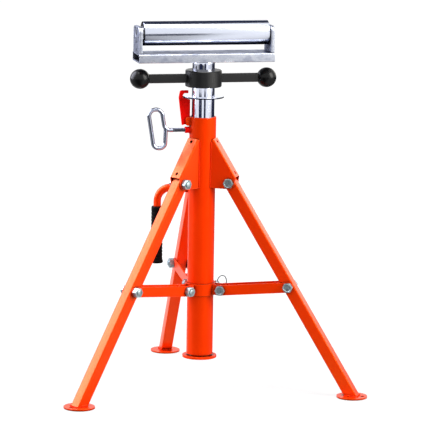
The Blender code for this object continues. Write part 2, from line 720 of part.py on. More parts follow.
def clamp_screw():
    """One bent rod: the threaded shank points at the mast, and the loop stands outside the tube."""
    corners = [
        (-MAST_R - GAP, 0),
        (-LOOP_NEAR, 0),
        (-LOOP_TOP_NEAR, LOOP_RISE),
        (-LOOP_TOP_FAR, LOOP_RISE),
        (-LOOP_LOW_FAR, -LOOP_DROP),
        (-LOOP_LOW_NEAR, -LOOP_DROP),
        (-LOOP_LOW_NEAR, -ROD_R - 2 * GAP),
    ]
    bends = [LOOP_BEND_R, LOOP_BEND_R, LOOP_BEND_R, LOOP_LOW_BEND_R, LOOP_LOW_BEND_R]
    route = filleted(corners, bends)
    bm = bmesh.new()
    bm.from_mesh(swept_rod(route, ROD_R))
    end = Vector((-LOOP_LOW_NEAR, 0, -ROD_R))
    bmesh.ops.translate(bm, verts=[v for v in bm.verts if (v.co - end).length < ROD_R + MM], vec=(0, 0, -MM))
    return finished(bm)


def latch_hook():
    """Flat hook whose nose stands over the mast's ring and whose notch takes the ring's edge."""
    ring_low = RING_FLANGE_Z
    ring_high = RING_FLANGE_Z + RING_FLANGE_THICK
    top = ring_high + LATCH_TOP_ABOVE_RING
    nose = top - NOSE_THICK
    throat = RING_FLANGE_R + 4 * GAP
    pivot = (-LATCH_PIVOT_R, LATCH_PIVOT_Z)
    outline = [
        (-NOSE_TIP_R, nose),
        (-NOSE_TIP_R, top),
    ]
    outline += arc(-HOOK_BACK_R + 5 * MM, top - 5 * MM, 5 * MM, 90, 180, 4)
    outline += [
        (-HOOK_BACK_R - 2 * MM, ring_low),
        (-HOOK_FOOT_R, pivot[1] - HOOK_FOOT_DROP),
    ]
    outline += arc(*pivot, HOOK_HEEL, -100, 0, 5)
    outline += [
        (-HOOK_FACE_R, TUBE_TOP_Z),
        (-HOOK_FACE_R, ring_low - 4.5 * MM),
        (-throat + 3 * MM, ring_low - MM),
        (-throat, ring_low + MM / 2),
        (-throat, ring_high + 2 * MM),
        (-throat + 3 * MM, nose),
    ]
    hook = prism_y(outline, -LATCH_THICK / 2, LATCH_THICK / 2)
    return combined(hook, [cross_hole(*pivot, LATCH_PIN_R + RUNNING, LATCH_THICK)])


def latch_lugs():
    """The two small ears, welded to the tube, that hold the latch's pin."""
    low = LATCH_PIVOT_Z - LATCH_EAR_DOWN
    high = LATCH_PIVOT_Z + LATCH_EAR_UP
    outline = [(-TUBE_R / 2, low), (-TUBE_R / 2, high)]
    outline += arc(-LATCH_PIVOT_R, high - HOOK_HEEL, HOOK_HEEL, 90, 180, 4)
    outline += arc(-LATCH_PIVOT_R, low + HOOK_HEEL, HOOK_HEEL, 180, 270, 4)
    near = LATCH_THICK / 2 + RUNNING
    lugs = []
    for edges in ((-near - EAR_PLATE, -near), (near, near + EAR_PLATE)):
        pin_hole = cross_hole(-LATCH_PIVOT_R, LATCH_PIVOT_Z, LATCH_PIN_R + GAP, LATCH_THICK * 2)
        lugs.append(combined(prism_y(outline, *edges), [tube_cutter(TUBE_R - TUBE_WALL / 2), pin_hole]))
    return lugs


def clamp_boss():
    """Round boss on the tube for the clamp screw's thread."""
    boss = turned(disc(CLAMP_BOSS_R, TUBE_R / 2, CLAMP_BOSS_OUT, SMALL_ROUND), math.radians(-90), "Y")
    bore = turned(disc(ROD_R + RUNNING, 0, 2 * CLAMP_BOSS_OUT, SMALL_ROUND), math.radians(-90), "Y")
    boss = combined(moved(boss, z=CLAMP_Z), [tube_cutter(TUBE_R + GAP), moved(bore, z=CLAMP_Z)])
    return boss


def carry_handle():
    """Bent tube from the main tube, out and down, coped to the main tube."""
    corners = [(TUBE_R / 2, HANDLE_Z), (HANDLE_REACH, HANDLE_Z), (HANDLE_REACH, HANDLE_END_Z)]
    rod = swept_rod(filleted(corners, [HANDLE_BEND_R], 9), HANDLE_ROD_R, sides=SMALL_ROUND)
    return combined(rod, [tube_cutter(TUBE_R + GAP)])


def handle_grip():
    """Rubber grip, closed at its lower end, pushed over the handle's tube."""
    low = HANDLE_END_Z - GRIP_END
    bore = HANDLE_ROD_R + GAP
    profile = [
        (0, low),
        (GRIP_FLARE_R - 2 * MM, low),
        (GRIP_FLARE_R, low + MM),
        (GRIP_FLARE_R, low + GRIP_FLARE),
        (GRIP_R, low + 2 * GRIP_FLARE),
        (GRIP_R, GRIP_TOP_Z - 2 * MM),
        (GRIP_R - 2 * MM, GRIP_TOP_Z),
        (bore, GRIP_TOP_Z),
        (bore, HANDLE_END_Z - GAP),
        (0, HANDLE_END_Z - GAP),
    ]
    return moved(revolved(profile, SMALL_ROUND), x=HANDLE_REACH)


def build():
    """Make every piece and place it."""
    for old in list(bpy.data.objects):
        bpy.data.objects.remove(old)

    orange = finish("orange_paint", (1.0, 0.12, 0.004), 0.35, 0.0)
    red = finish("red_paint", (0.8, 0.02, 0.01), 0.35, 0.0)
    chrome = finish("chrome", (0.75, 0.77, 0.82), 0.12, 1.0)
    zinc = finish("zinc_plate", (0.6, 0.63, 0.7), 0.4, 1.0)
    fastener = finish("fastener_zinc", (0.5, 0.56, 0.56), 0.35, 1.0)
    black = finish("black_cast", (0.02, 0.02, 0.02), 0.45, 0.3)
    plastic = finish("black_plastic", (0.012, 0.012, 0.012), 0.25, 0.0)
    rubber = finish("grip_rubber", (0.01, 0.01, 0.01), 0.75, 0.0)
    steel = finish("bright_steel", (0.55, 0.56, 0.58), 0.3, 1.0)

    stand = frame("stand_axis", (0, AXIS_Y, 0))
    piece("main_tube", main_tube(), orange, stand)
    piece("base_plate", base_plate(), orange, stand)
    piece("clamp_boss", clamp_boss(), red, stand)
    pin_half = LATCH_THICK / 2 + RUNNING + EAR_PLATE + MM
    pivot = prism_y(circle(0, 0, LATCH_PIN_R, SMALL_ROUND), -pin_half, pin_half)
    piece("latch_pivot_pin", pivot, fastener, stand, (-LATCH_PIVOT_R, 0, LATCH_PIVOT_Z))
    piece("carry_handle", carry_handle(), orange, stand, azimuth=HANDLE_AZIMUTH)
    piece("handle_grip", handle_grip(), rubber, stand, azimuth=HANDLE_AZIMUTH)

    hood, leg, foot = hood_bracket(), leg_tube(), foot_plate()
    channel, bolt_head, bolt_nut = brace(), brace_bolt_head(), brace_bolt_nut()
    hinge_bolt, hinge_nut = bolt(2 * HOOD_OUT), nut(2 * HOOD_OUT)
    collar_bolt, collar_nut = bolt(2 * CHEEK_OUT), nut(2 * CHEEK_OUT)
    collar = frame("collar_slide", (0, 0, COLLAR_Z), stand)
    for name, degrees in LEG_NAMES.items():
        azimuth = math.radians(degrees)
        piece(f"leg_bracket_{name}", hood.copy(), orange, stand, azimuth=azimuth)
        sector = frame(f"sector_{name}", (0, 0, 0), stand, azimuth)
        hinge = frame(f"leg_fold_{name}", (HINGE_R, 0, HINGE_Z), sector)
        piece(f"leg_{name}", leg.copy(), orange, hinge, tilt=-LEG_ANGLE)
        piece(f"foot_plate_{name}", foot.copy(), orange, hinge, (FOOT_AT - HINGE_R, 0, -HINGE_Z))
        pivot = frame(f"brace_pivot_{name}", (COLLAR_PIVOT_R, 0, COLLAR_Z), sector)
        piece(f"brace_{name}", channel.copy(), orange, pivot, tilt=-BRACE_SLOPE)
        ahead = (BRACE_RUN, 0, BRACE_RISE)
        piece(f"brace_bolt_{name}", bolt_head.copy(), fastener, pivot, ahead, tilt=-BRACE_SLOPE)
        piece(f"brace_nut_{name}", bolt_nut.copy(), fastener, pivot, ahead, tilt=-BRACE_SLOPE)
        at_hinge = (HINGE_R, 0, HINGE_Z)
        piece(f"hinge_bolt_{name}", hinge_bolt.copy(), fastener, sector, at_hinge)
        piece(f"hinge_nut_{name}", hinge_nut.copy(), fastener, sector, at_hinge)
        on_collar = (COLLAR_PIVOT_R * math.cos(azimuth), COLLAR_PIVOT_R * math.sin(azimuth), 0)
        piece(f"collar_bolt_{name}", collar_bolt.copy(), fastener, collar, on_collar, azimuth=azimuth)
        piece(f"collar_nut_{name}", collar_nut.copy(), fastener, collar, on_collar, azimuth=azimuth)
    piece("lock_collar", lock_collar(), orange, collar)
    pull = frame("lock_pin_pull", (0, 0, PIN_ABOVE), collar, PIN_AZIMUTH)
    piece("lock_pin", lock_pin(), steel, pull)
    piece("split_ring", split_ring(), steel, pull)

    mast = frame("mast_slide", (0, 0, 0), stand)
    piece("mast_tube", ring(MAST_R - MAST_WALL, MAST_R, MAST_BOTTOM_Z, MAST_TOP_Z), chrome, mast)
    flange_top = RING_FLANGE_Z + RING_FLANGE_THICK
    piece("latch_ring", ring(MAST_R + GAP, RING_FLANGE_R, RING_FLANGE_Z, flange_top), chrome, mast)
    washer_z = MAST_TOP_Z + GAP
    washer = ring(SCREW_R + 4 * RUNNING, MAST_R - GAP, washer_z, washer_z + WASHER_THICK)
    piece("thrust_washer", washer, steel, mast)

    turn = frame("nut_turn", (0, 0, 0), mast)
    piece("adjusting_nut", adjusting_nut(), black, turn)
    arm_z = (NUT_BOTTOM_Z + NUT_TOP_Z) / 2
    arm, ball = handle_arm(), ball_knob()
    for name, azimuth in (("right", 0), ("left", math.pi)):
        piece(f"handle_arm_{name}", arm.copy(), black, turn, (0, 0, arm_z), azimuth=azimuth)
        piece(f"ball_knob_{name}", ball.copy(), plastic, turn, (0, 0, arm_z), azimuth=azimuth)

    head = frame("head_lift", (0, 0, 0), mast)
    under = CRADLE_BOTTOM_Z - GAP
    piece("head_sleeve", ring(SLEEVE_R - SLEEVE_WALL, SLEEVE_R, SLEEVE_BOTTOM_Z, under), chrome, head)
    piece("lead_screw", disc(SCREW_R, under - SCREW_LENGTH, under, BALL_ROUND), steel, head)
    piece("cradle_section", cradle_section(), zinc, head)
    end = end_bracket()
    piece("end_bracket_right", end.copy(), zinc, head, (CRADLE_LENGTH / 2, 0, 0))
    piece("end_bracket_left", end.copy(), zinc, head, (-CRADLE_LENGTH / 2, 0, 0), azimuth=math.pi)
    axle_half = CRADLE_LENGTH / 2 - MM / 2
    piece("roller_axle", along_x(disc(AXLE_R, -axle_half, axle_half, SMALL_ROUND)), steel, head)

    spin = frame("roller_spin", (0, 0, 0), head)
    shell_in = ROLLER_R - ROLLER_WALL
    shell = ring(shell_in, ROLLER_R, -ROLLER_HALF, ROLLER_HALF)
    piece("roller_shell", along_x(shell), zinc, spin)
    for name, side in (("left", -1), ("right", 1)):
        cap = sorted((side * (ROLLER_HALF - MM / 2), side * (ROLLER_HALF - CAP_WIDTH)))
        piece(f"roller_end_cap_{name}", along_x(ring(BEARING_R + GAP, shell_in - GAP, *cap, BALL_ROUND)), plastic, spin)
        outer = ROLLER_HALF - BEARING_RECESS - MM / 2
        seat = sorted((side * outer, side * (outer - BEARING_WIDTH)))
        piece(f"roller_bearing_{name}", along_x(ring(AXLE_R + GAP, BEARING_R, *seat, BALL_ROUND)), steel, spin)

    screw = frame("clamp_screw_turn", (0, 0, CLAMP_Z), stand)
    piece("clamp_screw", clamp_screw(), chrome, screw)
    swing = frame("latch_swing", (-LATCH_PIVOT_R, 0, LATCH_PIVOT_Z), stand)
    hook = moved(latch_hook(), LATCH_PIVOT_R, 0, -LATCH_PIVOT_Z)
    piece("latch_hook", hook, red, swing)


build()
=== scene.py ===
"""The look of the folding roller stand: finishes, threads, welds, turned balls and rounded edges.

Metres, +Z up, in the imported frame. The main tube stands on the vertical line through AXIS, and each leg
has its own sector: X outwards from that line, Y across the leg, Z up.
"""

import json
import math

import bmesh
import bpy
from mathutils import Matrix, Vector


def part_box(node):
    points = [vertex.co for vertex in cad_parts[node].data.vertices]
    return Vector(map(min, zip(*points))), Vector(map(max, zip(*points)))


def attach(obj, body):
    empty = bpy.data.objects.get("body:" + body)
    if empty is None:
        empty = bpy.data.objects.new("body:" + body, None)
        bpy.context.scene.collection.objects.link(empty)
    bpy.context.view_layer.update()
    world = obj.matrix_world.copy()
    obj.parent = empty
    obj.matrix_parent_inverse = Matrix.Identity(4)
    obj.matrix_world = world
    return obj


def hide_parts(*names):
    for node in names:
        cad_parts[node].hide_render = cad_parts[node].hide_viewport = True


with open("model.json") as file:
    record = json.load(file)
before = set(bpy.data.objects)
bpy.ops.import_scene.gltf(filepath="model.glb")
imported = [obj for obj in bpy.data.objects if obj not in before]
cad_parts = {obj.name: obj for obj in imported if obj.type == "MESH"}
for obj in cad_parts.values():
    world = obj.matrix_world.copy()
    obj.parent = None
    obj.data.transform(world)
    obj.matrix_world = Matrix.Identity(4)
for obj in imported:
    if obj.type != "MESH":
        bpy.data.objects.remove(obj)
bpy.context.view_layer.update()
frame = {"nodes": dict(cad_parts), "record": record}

MM = 0.001

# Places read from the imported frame
mast_low, mast_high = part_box("mast_tube")
AXIS = Vector(((mast_low.x + mast_high.x) / 2, (mast_low.y + mast_high.y) / 2, 0))
LEGS = {"right": -30.0, "rear": 90.0, "left": 210.0}
behaviour = frame["record"]["behaviour"]
joint_at = {joint["name"]: Vector(joint.get("pos_m", (0, 0, 0))) for joint in behaviour["joints"]}
HINGE_R = joint_at["leg_rear_fold"].y - AXIS.y
HINGE_Z = joint_at["leg_rear_fold"].z
COLLAR_PIVOT_R = joint_at["brace_rear_hinge"].y - AXIS.y
COLLAR_Z = joint_at["brace_rear_hinge"].z
CLAMP_Z = joint_at["clamp_screw_turn"].z
ROLLER_Z = joint_at["roller_spin"].z
LATCH_PIVOT = joint_at["latch_swing"]
HOOD_TOP_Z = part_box("leg_bracket_rear")[1].z
slot_of = {part["node"]: part["material_slot"] for part in frame["record"]["subparts"]}
body_of = {node: body for body, nodes in behaviour["bodies"].items() for node in nodes}

# Sizes shared by several pieces
TUBE_R = 28.5 * MM
MAST_R = 24.15 * MM
MAST_WALL = 3 * MM
LEG_ANGLE = math.radians(32)
LEG_SIDE = 25 * MM
LEG_BOLT_DISTANCE = 255.9 * MM
FOOT_THICK = 4 * MM
CHEEK_OUT = 15.5 * MM
HOOD_OUT = 16.0 * MM
HOOD_LOW = 12.5 * MM
BOLT_R = 6 * MM
BOLT_FLATS = 19 * MM
HEAD_THICK = 7.5 * MM
NUT_THICK = 10 * MM
BOLT_PROUD = 2.5 * MM
SEAT = 0.3 * MM
HANDLE_AZIMUTH = 150

# Camera, found by fitting the stand's corners to the photograph
CAMERA_FROM_AXIS = Vector((-1.43509, -6.13444, 1.46886))
CAMERA_AZIMUTH = math.radians(-13.432)
CAMERA_PITCH = math.radians(9.864)
CAMERA_ROLL = math.radians(0.927)
FOCAL_PIXELS = 2977.29
PHOTO_PIXELS = 430


def srgb(red, green, blue):
    """A linear colour from 0-255 sRGB values."""
    values = []
    for channel in (red, green, blue):
        c = channel / 255
        values.append(c / 12.92 if c <= 0.04045 else ((c + 0.055) / 1.055) ** 2.4)
    return (*values, 1.0)


def grey(level):
    """A linear grey."""
    return (level, level, level, 1)


# Shader nodes


def feed(tree, socket, value):
    """Links a socket to another one, or gives it a value of its own."""
    if isinstance(value, bpy.types.NodeSocket):
        tree.links.new(value, socket)
    else:
        socket.default_value = value


def add_node(tree, kind, inputs=None, **settings):
    """A node with its settings; inputs maps a socket's label or index to a value or another socket."""
    node = tree.nodes.new(kind)
    for label, value in settings.items():
        setattr(node, label, value)
    for label, value in (inputs or {}).items():
        feed(tree, node.inputs[label], value)
    return node


def new_group(name, inputs, outputs, kind="ShaderNodeTree"):
    """An empty node group, the sockets that it is given, and its output node."""
    group = bpy.data.node_groups.new(name, kind)
    for in_out, sockets in (("INPUT", inputs), ("OUTPUT", outputs)):
        for label, socket in sockets.items():
            group.interface.new_socket(label, in_out=in_out, socket_type=f"NodeSocket{socket}")
    return group, group.nodes.new("NodeGroupInput").outputs, group.nodes.new("NodeGroupOutput")


def math_node(tree, operation, first, second, clamp=False):
    """The result of a Math node for two sockets or numbers."""
    return add_node(tree, "ShaderNodeMath", {0: first, 1: second}, operation=operation, use_clamp=clamp).outputs[0]


def mapped_coordinates(tree, stretch):
    """Object coordinates, scaled along each axis."""
    place = tree.nodes.new("ShaderNodeTexCoord").outputs["Object"]
    return add_node(tree, "ShaderNodeMapping", {"Vector": place, "Scale": stretch}).outputs[0]


def noise(tree, vector, scale, detail, roughness=0.5):
    """A Noise texture's factor."""
    inputs = {"Vector": vector, "Scale": scale, "Detail": detail, "Roughness": roughness}
    return add_node(tree, "ShaderNodeTexNoise", inputs).outputs["Fac"]


def remapped(tree, value, low, high, to_low=0.0, to_high=1.0):
    """A clamped Map Range."""
    inputs = {"Value": value, "From Min": low, "From Max": high, "To Min": to_low, "To Max": to_high}
    return add_node(tree, "ShaderNodeMapRange", inputs).outputs["Result"]


def mixed(tree, factor, first, second):
    """A mix of two colours."""
    return add_node(tree, "ShaderNodeMix", {0: factor, 6: first, 7: second}, data_type="RGBA").outputs[2]


def patchy_group():
    """Soft patches of two colours with a matching change of roughness, as on plate and paint."""
    group, given, out = new_group(
        "patchy_colour",
        {"First": "Color", "Second": "Color", "Size": "Float", "Contrast": "Float", "Stretch": "Vector",
         "Roughness": "Float", "Roughness Change": "Float"},
        {"Color": "Color", "Roughness": "Float"},
    )
    coarse = noise(group, mapped_coordinates(group, given["Stretch"]), given["Size"], 4.0, 0.6)
    low = math_node(group, "SUBTRACT", 0.5, given["Contrast"])
    high = math_node(group, "ADD", 0.5, given["Contrast"])
    mask = remapped(group, coarse, low, high)
    feed(group, out.inputs["Color"], mixed(group, mask, given["First"], given["Second"]))
    change = math_node(group, "MULTIPLY", mask, given["Roughness Change"])
    feed(group, out.inputs["Roughness"], math_node(group, "ADD", change, given["Roughness"]))
    return group


# The cosine between face and rounded normal where an edge begins and is full, and what breaks up the edge wear and
# painted highlight
EDGE_COSINES = (0.985, 0.9)
EDGE_WEAR_AND_HIGHLIGHT_SCALE = 120.0
EDGE_WEAR_AND_HIGHLIGHT_CUT = (0.42, 0.62)


def edge_wear_and_highlight_group():
    """A mask of sharp edges for wear and painted highlight lines, broken up so that they come and go along the
    edges.
    """
    group, given, out = new_group("edge_wear_and_painted_highlight", {"Radius": "Float", "Amount": "Float"}, {"Mask": "Float"})
    bevel = add_node(group, "ShaderNodeBevel", {"Radius": given["Radius"]}, samples=4).outputs["Normal"]
    normal = group.nodes.new("ShaderNodeNewGeometry").outputs["Normal"]
    dot = add_node(group, "ShaderNodeVectorMath", {0: bevel, 1: normal}, operation="DOT_PRODUCT")
    edge = remapped(group, dot.outputs["Value"], *EDGE_COSINES)
    specks = noise(group, mapped_coordinates(group, (1, 1, 1)), EDGE_WEAR_AND_HIGHLIGHT_SCALE, 4.0, 0.7)
    mask = math_node(group, "MULTIPLY", edge, remapped(group, specks, *EDGE_WEAR_AND_HIGHLIGHT_CUT))
    feed(group, out.inputs["Mask"], math_node(group, "MULTIPLY", mask, given["Amount"], True))
    return group


# The openness at which the painted shade in a hollow begins and is full
PAINTED_SHADE_CUT = (0.85, 0.35)


def painted_shade_group():
    """A mask of inner corners and narrow gaps, where painted shade darkens the colour as little light gets in."""
    group, given, out = new_group("painted_shade_in_hollows", {"Reach": "Float"}, {"Mask": "Float"})
    hidden = add_node(group, "ShaderNodeAmbientOcclusion", {"Distance": given["Reach"]}, samples=6)
    feed(group, out.inputs["Mask"], remapped(group, hidden.outputs["AO"], *PAINTED_SHADE_CUT))
    return group


def relief_group():
    """Height for orange peel, cast skin or drawn lines, from two scales of noise."""
    inputs = {"Stretch": "Vector", "Fine": "Float", "Coarse": "Float", "Coarse Share": "Float"}
    group, given, out = new_group("surface_relief", inputs, {"Height": "Float"})
    place = mapped_coordinates(group, given["Stretch"])
    fine = noise(group, place, given["Fine"], 2.0)
    coarse = math_node(group, "MULTIPLY", noise(group, place, given["Coarse"], 3.0), given["Coarse Share"])
    feed(group, out.inputs["Height"], math_node(group, "ADD", fine, coarse))
    return group


PATCHY = patchy_group()
EDGE_WEAR_AND_HIGHLIGHT = edge_wear_and_highlight_group()
PAINTED_SHADE = painted_shade_group()
RELIEF = relief_group()


def placed_group(tree, group, inputs):
    """The outputs of a group node with its own input values."""
    return add_node(tree, "ShaderNodeGroup", inputs, node_tree=group).outputs


def surface(name, first, second, patches, roughness, stretch=(1, 1, 1), metallic=0.0, specular=0.5,
            facing_tint=(1, 1, 1), relief=(900.0, 150.0, 0.5), height=2e-5, relief_stretch=(1, 1, 1),
            edge_wear_and_highlight=None, edge_wear_and_highlight_amount=0.5, edge_wear_and_highlight_radius=0.8 * MM, painted_shade=None, painted_shade_reach=12 * MM):
    """One finish: patchy colour and roughness, relief, edge wear with painted highlight, and painted shade in
    hollows.

    patches is the noise scale and how soft the patches are; roughness, its low value and what the patches
    add; relief, the fine and coarse noise scales and the coarse one's share. The facing tint is Principled's
    specular tint.
    """
    material = bpy.data.materials.new(name)
    material.use_nodes = True
    tree = material.node_tree
    shader = tree.nodes["Principled BSDF"]
    mottle = placed_group(tree, PATCHY, {
        "First": first, "Second": second, "Size": patches[0], "Contrast": patches[1], "Stretch": stretch,
        "Roughness": roughness[0], "Roughness Change": roughness[1],
    })
    colour = mottle["Color"]
    # Edge colour: wear, and on the orange paint a painted highlight along the sheet edges
    if edge_wear_and_highlight is not None:
        edges = placed_group(tree, EDGE_WEAR_AND_HIGHLIGHT, {"Amount": edge_wear_and_highlight_amount, "Radius": edge_wear_and_highlight_radius})
        colour = mixed(tree, edges["Mask"], colour, edge_wear_and_highlight)
    # Painted shade: a darker colour mixed in where the ambient occlusion mask finds inner corners and gaps
    if painted_shade is not None:
        corners = placed_group(tree, PAINTED_SHADE, {"Reach": painted_shade_reach})
        colour = mixed(tree, corners["Mask"], colour, painted_shade)
    bumps = placed_group(tree, RELIEF, {
        "Stretch": relief_stretch, "Fine": relief[0], "Coarse": relief[1], "Coarse Share": relief[2],
    })
    bump = add_node(tree, "ShaderNodeBump", {"Distance": height, "Height": bumps["Height"]})
    inputs = {
        "Metallic": metallic, "Specular IOR Level": specular, "Specular Tint": (*facing_tint, 1),
        "Base Color": colour, "Roughness": mottle["Roughness"], "Normal": bump.outputs["Normal"],
    }
    for label, value in inputs.items():
        feed(tree, shader.inputs[label], value)
    return material


# The pale salmon edge colour is a painted highlight along the sheet edges, where their thickness would catch the
# light
ORANGE_PAINT = {
    "patches": (14.0, 0.3), "relief": (700.0, 160.0, 0.6), "edge_wear_and_highlight": srgb(255, 150, 95), "edge_wear_and_highlight_amount": 0.8,
    "facing_tint": (1.0, 0.82, 0.12),
}
# Its near-black red in hollows is painted shade
ORANGE = surface(
    "orange_powder_coat", srgb(254, 55, 0), srgb(250, 46, 0), roughness=(0.27, 0.06), painted_shade=srgb(60, 3, 1),
    **ORANGE_PAINT,
)
# As the orange coat, but its painted shade reaches 30 mm so that the hood's cavity behind the drain holes looks
# dark, and its painted highlight runs wider along the edges
HOOD_ORANGE = surface(
    "orange_powder_coat_on_hoods", srgb(254, 55, 0), srgb(250, 46, 0), roughness=(0.27, 0.06),
    painted_shade=srgb(60, 3, 1), painted_shade_reach=30 * MM, edge_wear_and_highlight_radius=1.8 * MM, **ORANGE_PAINT,
)
# Its dark red in hollows is painted shade, such as the dark crescent where the tube meets the base plate
TUBE_ORANGE = surface(
    "orange_powder_coat_on_tube", srgb(254, 58, 0), srgb(250, 49, 0), roughness=(0.3, 0.06), specular=0.2,
    painted_shade=srgb(40, 2, 1), painted_shade_reach=16 * MM, **ORANGE_PAINT,
)
RED = surface(
    "red_enamel", srgb(255, 14, 5), srgb(246, 10, 4), (30.0, 0.3), (0.28, 0.06), specular=0.06,
    relief=(800.0, 200.0, 0.5), edge_wear_and_highlight=srgb(250, 90, 60), edge_wear_and_highlight_amount=0.3,
)
CHROME = surface(
    "polished_chrome", srgb(222, 226, 240), srgb(210, 214, 231), (60.0, 0.25), (0.06, 0.04), metallic=1.0,
    facing_tint=(0.16, 0.18, 0.3), relief=(400.0, 60.0, 0.5), height=2e-6, relief_stretch=(1, 1, 0.05),
)
RING_CHROME = surface(
    "ring_chrome", srgb(226, 230, 243), srgb(214, 218, 234), (60.0, 0.25), (0.08, 0.04), metallic=1.0,
    relief=(400.0, 60.0, 0.5), height=2e-6, edge_wear_and_highlight=srgb(240, 242, 248), edge_wear_and_highlight_amount=0.3,
)
# A darker steel, used only on the latch ring's rim so that the ring's edge shows as a dark line
DARK_RIM_STEEL = surface(
    "dark_rim_steel", srgb(48, 53, 74), srgb(26, 30, 48), (150.0, 0.2), (0.18, 0.1), metallic=1.0,
    facing_tint=(0.1, 0.12, 0.2), relief=(900.0, 200.0, 0.5), height=2e-6, relief_stretch=(1, 1, 0.1),
)
THREAD = surface(
    "rolled_thread", srgb(120, 124, 136), srgb(84, 88, 100), (200.0, 0.2), (0.3, 0.12), metallic=0.85,
    facing_tint=(0.1, 0.12, 0.18), relief=(1600.0, 300.0, 0.5), height=4e-6,
)
ROD = surface(
    "bright_zinc_rod", srgb(188, 193, 210), srgb(164, 169, 188), (90.0, 0.25), (0.1, 0.05), metallic=1.0,
    facing_tint=(0.1, 0.12, 0.2), relief=(700.0, 120.0, 0.5), height=2e-6, edge_wear_and_highlight=srgb(210, 214, 224),
    edge_wear_and_highlight_amount=0.3,
)
SPRING = surface(
    "spring_steel_wire", srgb(82, 90, 94), srgb(56, 62, 68), (200.0, 0.2), (0.22, 0.1), metallic=0.8,
    facing_tint=(0.1, 0.12, 0.16), relief=(1600.0, 300.0, 0.5), height=2e-6,
)
# Its dark blue-grey within 60 mm of other parts is painted shade, which darkens the shell's underside over the
# cradle and its ends by the brackets
ROLLER = surface(
    "ground_roller_steel", srgb(222, 226, 238), srgb(204, 209, 224), (26.0, 0.25), (0.15, 0.05), (0.12, 1, 1),
    metallic=1.0, facing_tint=(0.1, 0.12, 0.2), relief=(700.0, 90.0, 0.5), height=1.5e-6,
    relief_stretch=(0.04, 1, 1), edge_wear_and_highlight=srgb(236, 238, 244), painted_shade=srgb(72, 78, 100), painted_shade_reach=60 * MM,
)
# Its dark navy in hollows is painted shade, as inside the cradle's open end
ZINC = surface(
    "mottled_zinc_plate", srgb(222, 226, 236), srgb(158, 163, 180), (70.0, 0.14), (0.26, 0.16), (0.6, 1, 1),
    metallic=1.0, facing_tint=(0.5, 0.52, 0.6), relief=(900.0, 120.0, 0.6), height=1e-5,
    relief_stretch=(0.15, 1, 1), edge_wear_and_highlight=srgb(228, 230, 238), edge_wear_and_highlight_amount=0.6, painted_shade=srgb(16, 19, 38),
    painted_shade_reach=20 * MM,
)
FASTENER = surface(
    "zinc_fastener", srgb(186, 202, 204), srgb(116, 136, 142), (160.0, 0.16), (0.24, 0.14), metallic=0.6,
    facing_tint=(0.2, 0.26, 0.34), relief=(1600.0, 300.0, 0.5), height=8e-6, edge_wear_and_highlight=srgb(225, 228, 226),
)
CAST = surface(
    "black_cast_iron", srgb(26, 26, 27), srgb(19, 19, 20), (70.0, 0.25), (0.28, 0.12), specular=0.4,
    relief=(1100.0, 350.0, 0.8), height=4e-5, edge_wear_and_highlight=srgb(66, 66, 69),
)
BALL = surface(
    "black_ball_plastic", srgb(13, 13, 14), srgb(9, 9, 10), (50.0, 0.3), (0.24, 0.06), specular=0.2,
    relief=(300.0, 60.0, 0.4), height=6e-6,
)
RUBBER = surface(
    "grip_rubber", srgb(10, 10, 11), srgb(6, 6, 7), (90.0, 0.3), (0.62, 0.16), specular=0.08,
    relief=(1500.0, 500.0, 0.6), height=8e-5, edge_wear_and_highlight=srgb(34, 34, 36), edge_wear_and_highlight_amount=0.4,
)
STEEL = surface(
    "turned_steel", srgb(176, 178, 182), srgb(136, 138, 146), (120.0, 0.25), (0.24, 0.12), metallic=1.0,
    relief=(1500.0, 250.0, 0.4), height=8e-6, edge_wear_and_highlight=srgb(214, 216, 220), edge_wear_and_highlight_amount=0.4,
)
SEAL = surface(
    "black_seal_plastic", srgb(20, 21, 28), srgb(14, 15, 20), (120.0, 0.3), (0.4, 0.1), specular=0.2,
    relief=(1200.0, 300.0, 0.5),
)
WELD = surface(
    "painted_weld", srgb(255, 58, 0), srgb(236, 46, 0), (300.0, 0.3), (0.34, 0.1), specular=0.08,
    relief=(2200.0, 700.0, 0.8), height=6e-5,
)

SLOT_FINISH = {
    "orange_paint": ORANGE, "red_paint": RED, "chrome_plate": CHROME, "zinc_plate": ZINC,
    "zinc_fasteners": FASTENER, "black_cast_iron": CAST, "black_ball_plastic": BALL,
    "grip_rubber": RUBBER, "bright_steel": STEEL, "black_seal_plastic": SEAL,
}


# Making and placing pieces


def rotated(axis, degrees):
    """A turn about X, Y or Z."""
    return Matrix.Rotation(math.radians(degrees), 4, axis)


def sector(azimuth_degrees, radius=0.0, height=0.0):
    """The place of a sector's frame, moved out by radius and up by height."""
    return Matrix.Translation(AXIS) @ rotated("Z", azimuth_degrees) @ Matrix.Translation((radius, 0, height))


# Turns what is made round Z so that it runs along +X
ALONG_X = rotated("Y", 90)


def new_object(name, data):
    """An object in the scene."""
    obj = bpy.data.objects.new(name, data)
    bpy.context.collection.objects.link(obj)
    return obj


def mesh_from(bm):
    """A mesh from a closed bmesh, with doubles merged and faces pointing out."""
    bmesh.ops.remove_doubles(bm, verts=bm.verts, dist=1e-7)
    bmesh.ops.recalc_face_normals(bm, faces=bm.faces)
    mesh = bpy.data.meshes.new("shape")
    bm.to_mesh(mesh)
    bm.free()
    return mesh


def shade(mesh, smooth):
    """Smooth shading, with the edges sharp where faces meet at more than smooth degrees."""
    mesh.shade_smooth()
    mesh.set_sharp_from_angle(angle=math.radians(smooth))


def add_piece(name, mesh, finish, body, node=None, place=None, smooth=35):
    """An object at the origin whose place is in its mesh; it rides on a body and may replace a node."""
    if place is not None:
        mesh.transform(place)
    mesh.materials.clear()
    mesh.materials.append(finish)
    shade(mesh, smooth)
    obj = new_object(name, mesh)
    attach(obj, body)
    if node is not None:
        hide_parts(node)
    return obj


